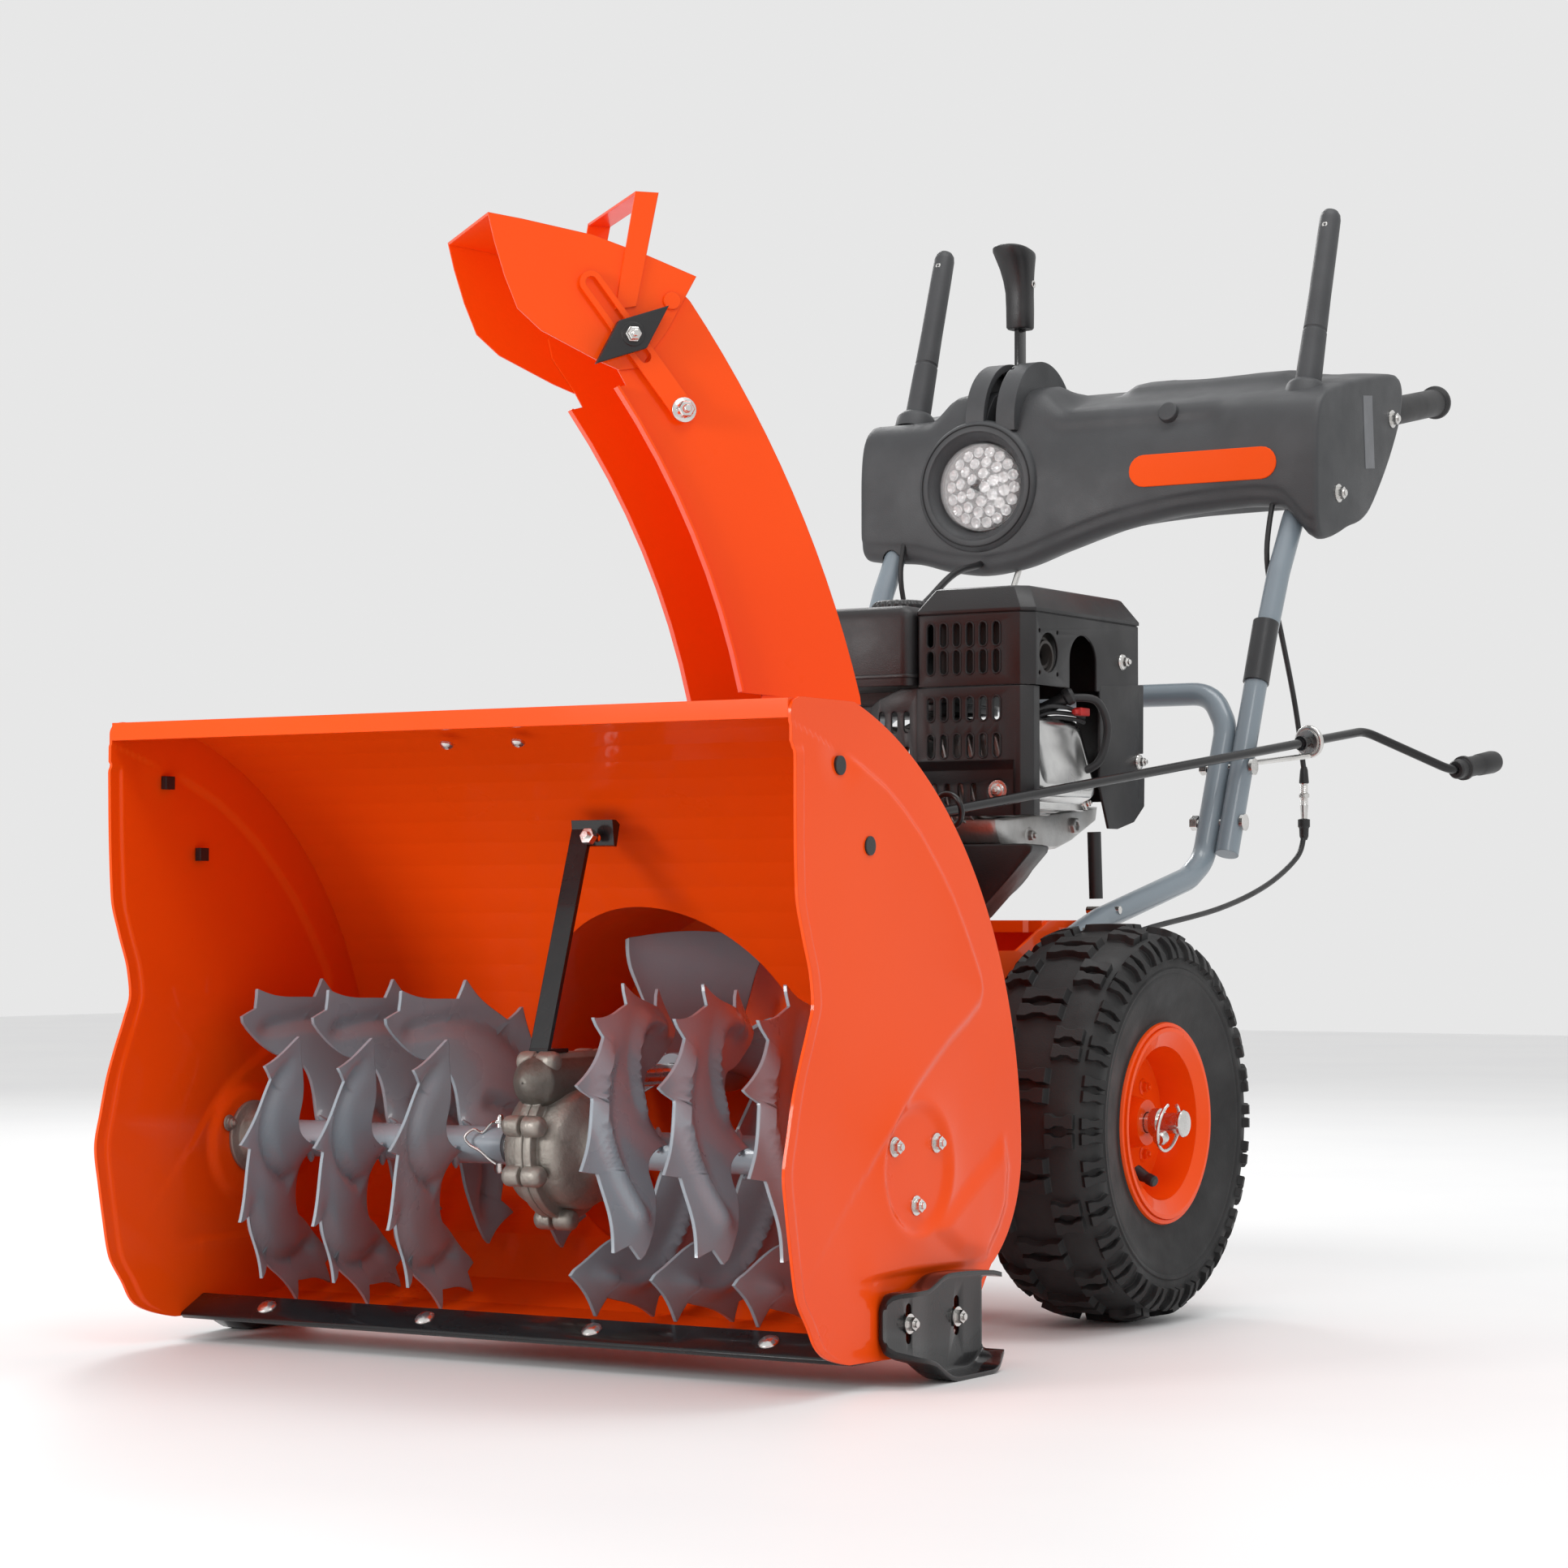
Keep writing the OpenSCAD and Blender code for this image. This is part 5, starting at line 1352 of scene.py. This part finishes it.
def make_cables():
    for s, label in ((1, "left"), (-1, "right")):
        upper = [(CABLE_X, 1246, 900), (CABLE_X, 1212, 830), (CABLE_X, 1205, 775), (CABLE_X, 1240, 706),
            (CABLE_X, 1277, 627), (CABLE_X, 1300, 556)]
        lower = [(CABLE_X, 1299, 483), (CABLE_X, 1279, 458), (CABLE_X, 1196, 426), (CABLE_X, 1072, 400),
            (230, 897, 378), (218, 866, 362), (190.2, 850, 350)]
        make_cord("clutch_cable_upper_" + label, [(s * x, y, z) for x, y, z in upper], 3.0, "machine",
            replaces=["control_cables"])
        make_cord("clutch_cable_lower_" + label, [(s * x, y, z) for x, y, z in lower], 3.0, "machine")
        bm = new()
        lathe(bm, at(CABLE_X * s, 1300, 560), (0, 0, -1), [(0, 3.2), (4, 4.4), (18, 5.6), (20, 3)], 20)
        lathe(bm, at(CABLE_X * s, 1299.2, 502), (0, 0, -1),
            [(0, 3), (1, 6.8), (9, 6.8), (11, 5.4), (20, 5), (24, 3.4)], 20)
        piece("cable_caps_" + label, bm, "soft_rubber")
        bm = new()
        lathe(bm, at(CABLE_X * s, 1300, 543), (0, 0, -1), [(0, 3), (1, 4.6), (3, 4.0)]
            + [(3 + k, 4.6 if k % 2 else 3.9) for k in range(1, 24)] + [(28, 4.4), (42, 3.4)], 18)
        lathe(bm, at(CABLE_X * s, 1300, 530), (0, 0, -1), [(0, 5.2), (0.5, 6.4), (4.5, 6.4), (5, 5.2)], 6)
        piece("cable_adjuster_" + label, bm, "bright_steel")
    make_cord("lamp_loom", [(-132, 1266, 880), (-132, 1285, 856), (-131, 1232, 806), (-130, 1150, 783),
        (-128, 1080, 745), (-122, 1000, 706), (-118, 948.2, 680)], 4.0, "machine")
    make_cord("spark_cord", [(184, 822, 614), (204, 844, 612), (210, 858, 590), (208, 858, 566),
        (202, 852, 548), (190, 845, 540)], 4.2, "machine", replaces=["spark_lead"])


make_cables()

# ---- side plates -------------------------------------------------------------------------------

PLATE_IN, PLATE_OUT = 359.5, 362.5
PLATE_FOOT, PLATE_TALL = 22, 545.4
FRONT = [(22, 158), (23, 92), (41, 35), (60, 21), (86, 3), (120, -5), (151, -11), (183, -16), (215, -9),
    (245, -1), (273, 10), (300, 22), (320, 29), (342, 26), (375, 14), (408, 4), (470, 1), (529, 0),
    (530, -2), (556, -2), (563, 1), (567.5, 12)]
CREASE = [(71, 526), (89, 521), (110, 513), (146, 498), (175, 481), (205, 460), (235, 433), (260, 408),
    (281, 381), (299, 355), (309, 340), (313, 327), (308, 316), (286, 302), (255, 286), (219, 264),
    (189, 246), (165, 229), (148, 213)]
FACET = [(220, 124), (241, 138), (262, 150), (294, 167), (330, 184), (354, 201), (363, 172), (358, 137),
    (345, 117), (319, 92), (270, 100)]


BEARING = (196.0, 178.0)
CREASE_TOP = (71.0, 526.0)


def plate_front(z):
    return interpolate(FRONT, z)


def plate_rear(z):
    """Back edge of a side plate at height z: a big arc, a smaller heel arc and the slanted foot."""
    if z > 183:
        return -14 + sqrt(max(0.0, 400 ** 2 - (z - 183) ** 2))
    if z > 88:
        return 276 + sqrt(110 ** 2 - (z - 183) ** 2)
    return interpolate([(22, 160), (31, 240), (47, 291), (88, 331)], z)


def segment_gap(p, a, b):
    """Distance from p to the segment a-b, and a number whose sign tells the side of it p lies on."""
    ax, ay = b[0] - a[0], b[1] - a[1]
    px, py = p[0] - a[0], p[1] - a[1]
    t = min(1.0, max(0.0, (px * ax + py * ay) / (ax * ax + ay * ay)))
    return hypot(px - t * ax, py - t * ay), ax * py - ay * px


def signed_gap(p, line):
    """segment_gap for the nearest segment of a line."""
    return min((segment_gap(p, a, b) for a, b in zip(line, line[1:])), key=lambda g: g[0])


def inside(p, outline):
    """Whether p lies inside a closed outline."""
    odd = False
    for (x0, y0), (x1, y1) in zip(outline, outline[1:] + outline[:1]):
        if (y0 > p[1]) != (y1 > p[1]) and p[0] < (x1 - x0) * (p[1] - y0) / (y1 - y0) + x0:
            odd = not odd
    return odd


def plate_relief(y, z):
    """How far the pressed shapes stand out of the plate, in millimetres."""
    # the flat hem along the front edge
    hem = y - plate_front(z)
    lift = 2.4 * (1 - spread_between(hem, 11.5, 14.5)) * spread_between(z, 28,
        40) * (1 - spread_between(z, 522, 528))
    # the long crease, which fades out behind it
    gap, side = signed_gap((y, z), CREASE)
    d = gap if side < 0 else -gap
    start = spread_between(hypot(y - CREASE_TOP[0], z - CREASE_TOP[1]), 2, 40)
    lift += 4.2 * start * spread_between(d, -3.5, 3.5) * exp(-max(0.0, d) / 55.0)
    # the flat round the bearing and the swell round that
    r = hypot(y - BEARING[0], (z - BEARING[1]) * 1.02)
    ring = spread_between(r, 48, 58) * exp(-max(0.0, r - 60) / 24.0)
    lift += 5.0 * ring * (1 - spread_between(r, 110, 150))
    lift *= spread_between(r, 46, 56) if r < 60 else 1.0
    # the raised facet at the heel and the step above the skid shoe
    edge = signed_gap((y, z), FACET + FACET[:1])[0]
    if inside((y, z), FACET):
        lift += 4.5 * spread_between(edge, -3, 14)
    lift += 2.2 * spread_between(z, 88, 95) * exp(-max(0.0, z - 95) / 30.0) * spread_between(y, 84,
        130) * (1 - spread_between(y, 300, 335))
    if z <= 94 and 125 < y < 325:
        lift *= spread_between(z, 90, 94)
    return lift


def make_side_plates():
    rows, columns = 170, 120
    levels = [PLATE_FOOT + PLATE_TALL * (0.5 - 0.5 * cos(pi * k / rows)) * 0.5
        + PLATE_TALL * (k / rows) * 0.5 for k in range(rows + 1)]
    relief = []
    for z in levels:
        f, g = plate_front(z), plate_rear(z)
        ys = [f + (g - f) * (k / columns) ** 1.2 for k in range(columns + 1)]
        relief.append([(y, z, plate_relief(y, z)) for y in ys])
    for s, name in ((1, "side_plate_left"), (-1, "side_plate_right")):
        bm = new()
        skins = [loft(bm, [[at(s * (x + h), y, z) for y, z, h in row] for row in relief], closed=False)
            for x in (PLATE_IN, PLATE_OUT)]
        join_edges(bm, skins)
        piece(name + "_pressing", bm, "orange_paint", replaces=[name], angle=50)

    bm = new()
    for s in (1, -1):
        lathe(bm, at(s * 345, *AUGER), (s, 0, 0),
            [(0, 10.4), (0, 23), (2, 24.5), (9, 25.5), (10.5, 31), (11, 34), (14.5, 34)], 48)
        for y, z in ((161, 198), (232, 198), (197, 147)):
            bolt(bm, at(s * 358, y, z), (-s, 0, 0), 4.5)
    piece("bearing_flanges", bm, "cast_metal", replaces=["auger_bearings"], bevel=0.5, angle=40)


make_side_plates()

# ---- skid shoes and other intake fittings ------------------------------------------------------


SKID_X = 364.6


def make_skids():
    """Skid shoes with slots for their bolts, and the two screws in the intake's lip."""
    top = [(132, 70), (134, 76), (140, 79), (172, 79.5), (182, 82), (206, 90), (214, 90.5), (286, 87),
        (302, 84)]
    sole = [(132, 34), (134, 28), (142, 24), (172, 16.5), (188, 8), (204, 1.2), (215, 0), (270, 0),
        (282, 1.5), (302, 14)]
    reach_top = [(132, 7), (140, 20), (150, 24), (302, 24)]
    reach_low = [(132, 7), (140, 26), (160, 32), (270, 32), (286, 30), (302, 26)]
    bm = new()
    for s in (1, -1):
        rings = []
        for y in (132, 133, 135, 138, 142, 148, 156, 164, 172, 177, 182, 188, 194, 200, 206, 210, 215,
                225, 240, 255, 270, 276, 282, 288, 294, 299, 302):
            z1, z0 = interpolate(top, y), interpolate(sole, y)
            out1, out0 = interpolate(reach_top, y), interpolate(reach_low, y)
            x = SKID_X
            outer = [(x + out1, z1), (x + 7, z1), (x + 2.6, z1 - 1.3), (x, z1 - 6), (x, z0 + 7),
                (x + 2.6, z0 + 1.6), (x + 7, z0), (x + out0, z0)]
            inner = [(x + out0, z0 + 4), (x + 8, z0 + 4), (x + 5.2, z0 + 5), (x + 4, z0 + 8),
                (x + 4, z1 - 8), (x + 5.2, z1 - 5), (x + 8, z1 - 4), (x + out1, z1 - 4)]
            rings.append([at(s * xx, y, zz) for xx, zz in outer + inner])
        loft(bm, rings)
    slots = new()
    for s in (1, -1):
        for y in (175, 257):
            prism(slots, stadium(y, 50, 9.0, 34.0), "X", s * 362, s * 372)
    bm = carve(bm, slots)
    piece("skid_shoe_plates", bm, "black_paint", replaces=["skid_shoes"], bevel=0.9, angle=40)

    bm = new()
    for x in (-72, 6):
        lathe(bm, at(x, 118, 545), (0, -0.35, -1),
            [(0, 6.5), (2.2, 6.2), (4.2, 4.4), (4.8, 2.6), (3.6, 2.4)], 20)
    piece("intake_screws", bm, "bright_steel")


make_skids()


def make_scraper():
    """The wear bar is folded over the front edge of the floor and held by carriage bolts."""
    fold = [(95, 25), (97, 27.5), (127, 42.5), (129, 39.5), (102, 25.4), (158, 25.4), (158, 21.4),
        (99, 21.4)]
    bm = new()
    loft(bm, [[at(x, y, z) for y, z in fold] for x in [-359 + 718 * k / 12 for k in range(13)]])
    piece("scraper_fold", bm, "black_paint", replaces=["scraper_bar"], bevel=0.8)
    bm = new()
    for x in (-270, -90, 90, 270):
        lathe(bm, at(x, 112, 34.6), (0, -0.45, 0.89), [(0, 9.5), (1.6, 9), (3.6, 6.4), (4.6, 2.2)], 28)
        block(bm, (x - 4.6, x + 4.6), (107, 116), (32.5, 35.2))
    piece("scraper_bolts", bm, "bright_steel")


make_scraper()


def make_belt_guard():
    """Drawn cover over the belt, with a flange and two ribs round it."""
    outline = [(-86, 352), (60, 352), (88, 392), (92, 470), (84, 506), (58, 530), (-104, 534),
        (-134, 508), (-138, 462)]
    middle = (-20.0, 444.0)
    swell = lambda k, y: [at(middle[0] + (x - middle[0]) * k, y, middle[1] + (z - middle[1]) * k)
        for x, z in outline]
    bm = new()
    loft(bm, [swell(k, y) for k, y in ((0.80, 577), (0.88, 578.5), (0.93, 583), (0.955, 590),
        (0.96, 611), (0.975, 613), (0.975, 620), (0.96, 622), (0.965, 649), (0.98, 651), (0.98, 658),
        (0.965, 660), (0.97, 692), (1.03, 694), (1.03, 699))])
    piece("belt_guard", bm, "black_plastic", replaces=["belt_cover"], angle=30)


make_belt_guard()


def make_decals():
    """Plain dark bands stand where the tubes carry pictures."""
    bm = new()
    for s in (1, -1):
        sweep(bm, [at(HANDLE_X * s, on_bar(z), z) for z in (644, 668, 692, 711)], 14.2, 32)
    piece("tube_bands", bm, "decal_dark")


make_decals()


def chute_point(x, y, z):
    """A point of the chute's own frame, which stands turned 40 degrees to the right."""
    a = CHUTE_TURN
    return at(CHUTE_X + x * cos(a) - y * sin(a), CHUTE_Y + x * sin(a) + y * cos(a), z)


LINK_PIVOT = (-98.0, 855.0)
WING_KNOB = (-149.0, 921.0)


def make_link_bolts():
    """The nut on the tilt link's pivot and the stud end through the wing knob."""
    out = chute_point(1, 0, 0) - chute_point(0, 0, 0)
    bm = new()
    lathe(bm, chute_point(87.2, *LINK_PIVOT), out, [(0, 11.5), (2, 11.5), (3.4, 8.4)], 32)
    lathe(bm, chute_point(90.4, *LINK_PIVOT), out, [(0, 8.2), (6, 8.2), (7.4, 7.0)], 6)
    lathe(bm, chute_point(97.4, *LINK_PIVOT), out, [(0, 3.6), (4.4, 3.6), (5.4, 2.8)], 20)
    piece("link_pivot_nut", bm, "bright_steel", "chute_assembly")
    bm = new()
    lathe(bm, chute_point(97.6, *WING_KNOB), out,
        [(0, 7.6), (1.2, 7.6), (1.6, 6.6), (5.6, 6.6), (6.4, 5.6)], 6)
    lathe(bm, chute_point(103.6, *WING_KNOB), out, [(0, 3.4), (3.6, 3.4), (4.4, 2.6)], 20)
    piece("wing_knob_stud", bm, "bright_steel", "tilt_knob")


make_link_bolts()
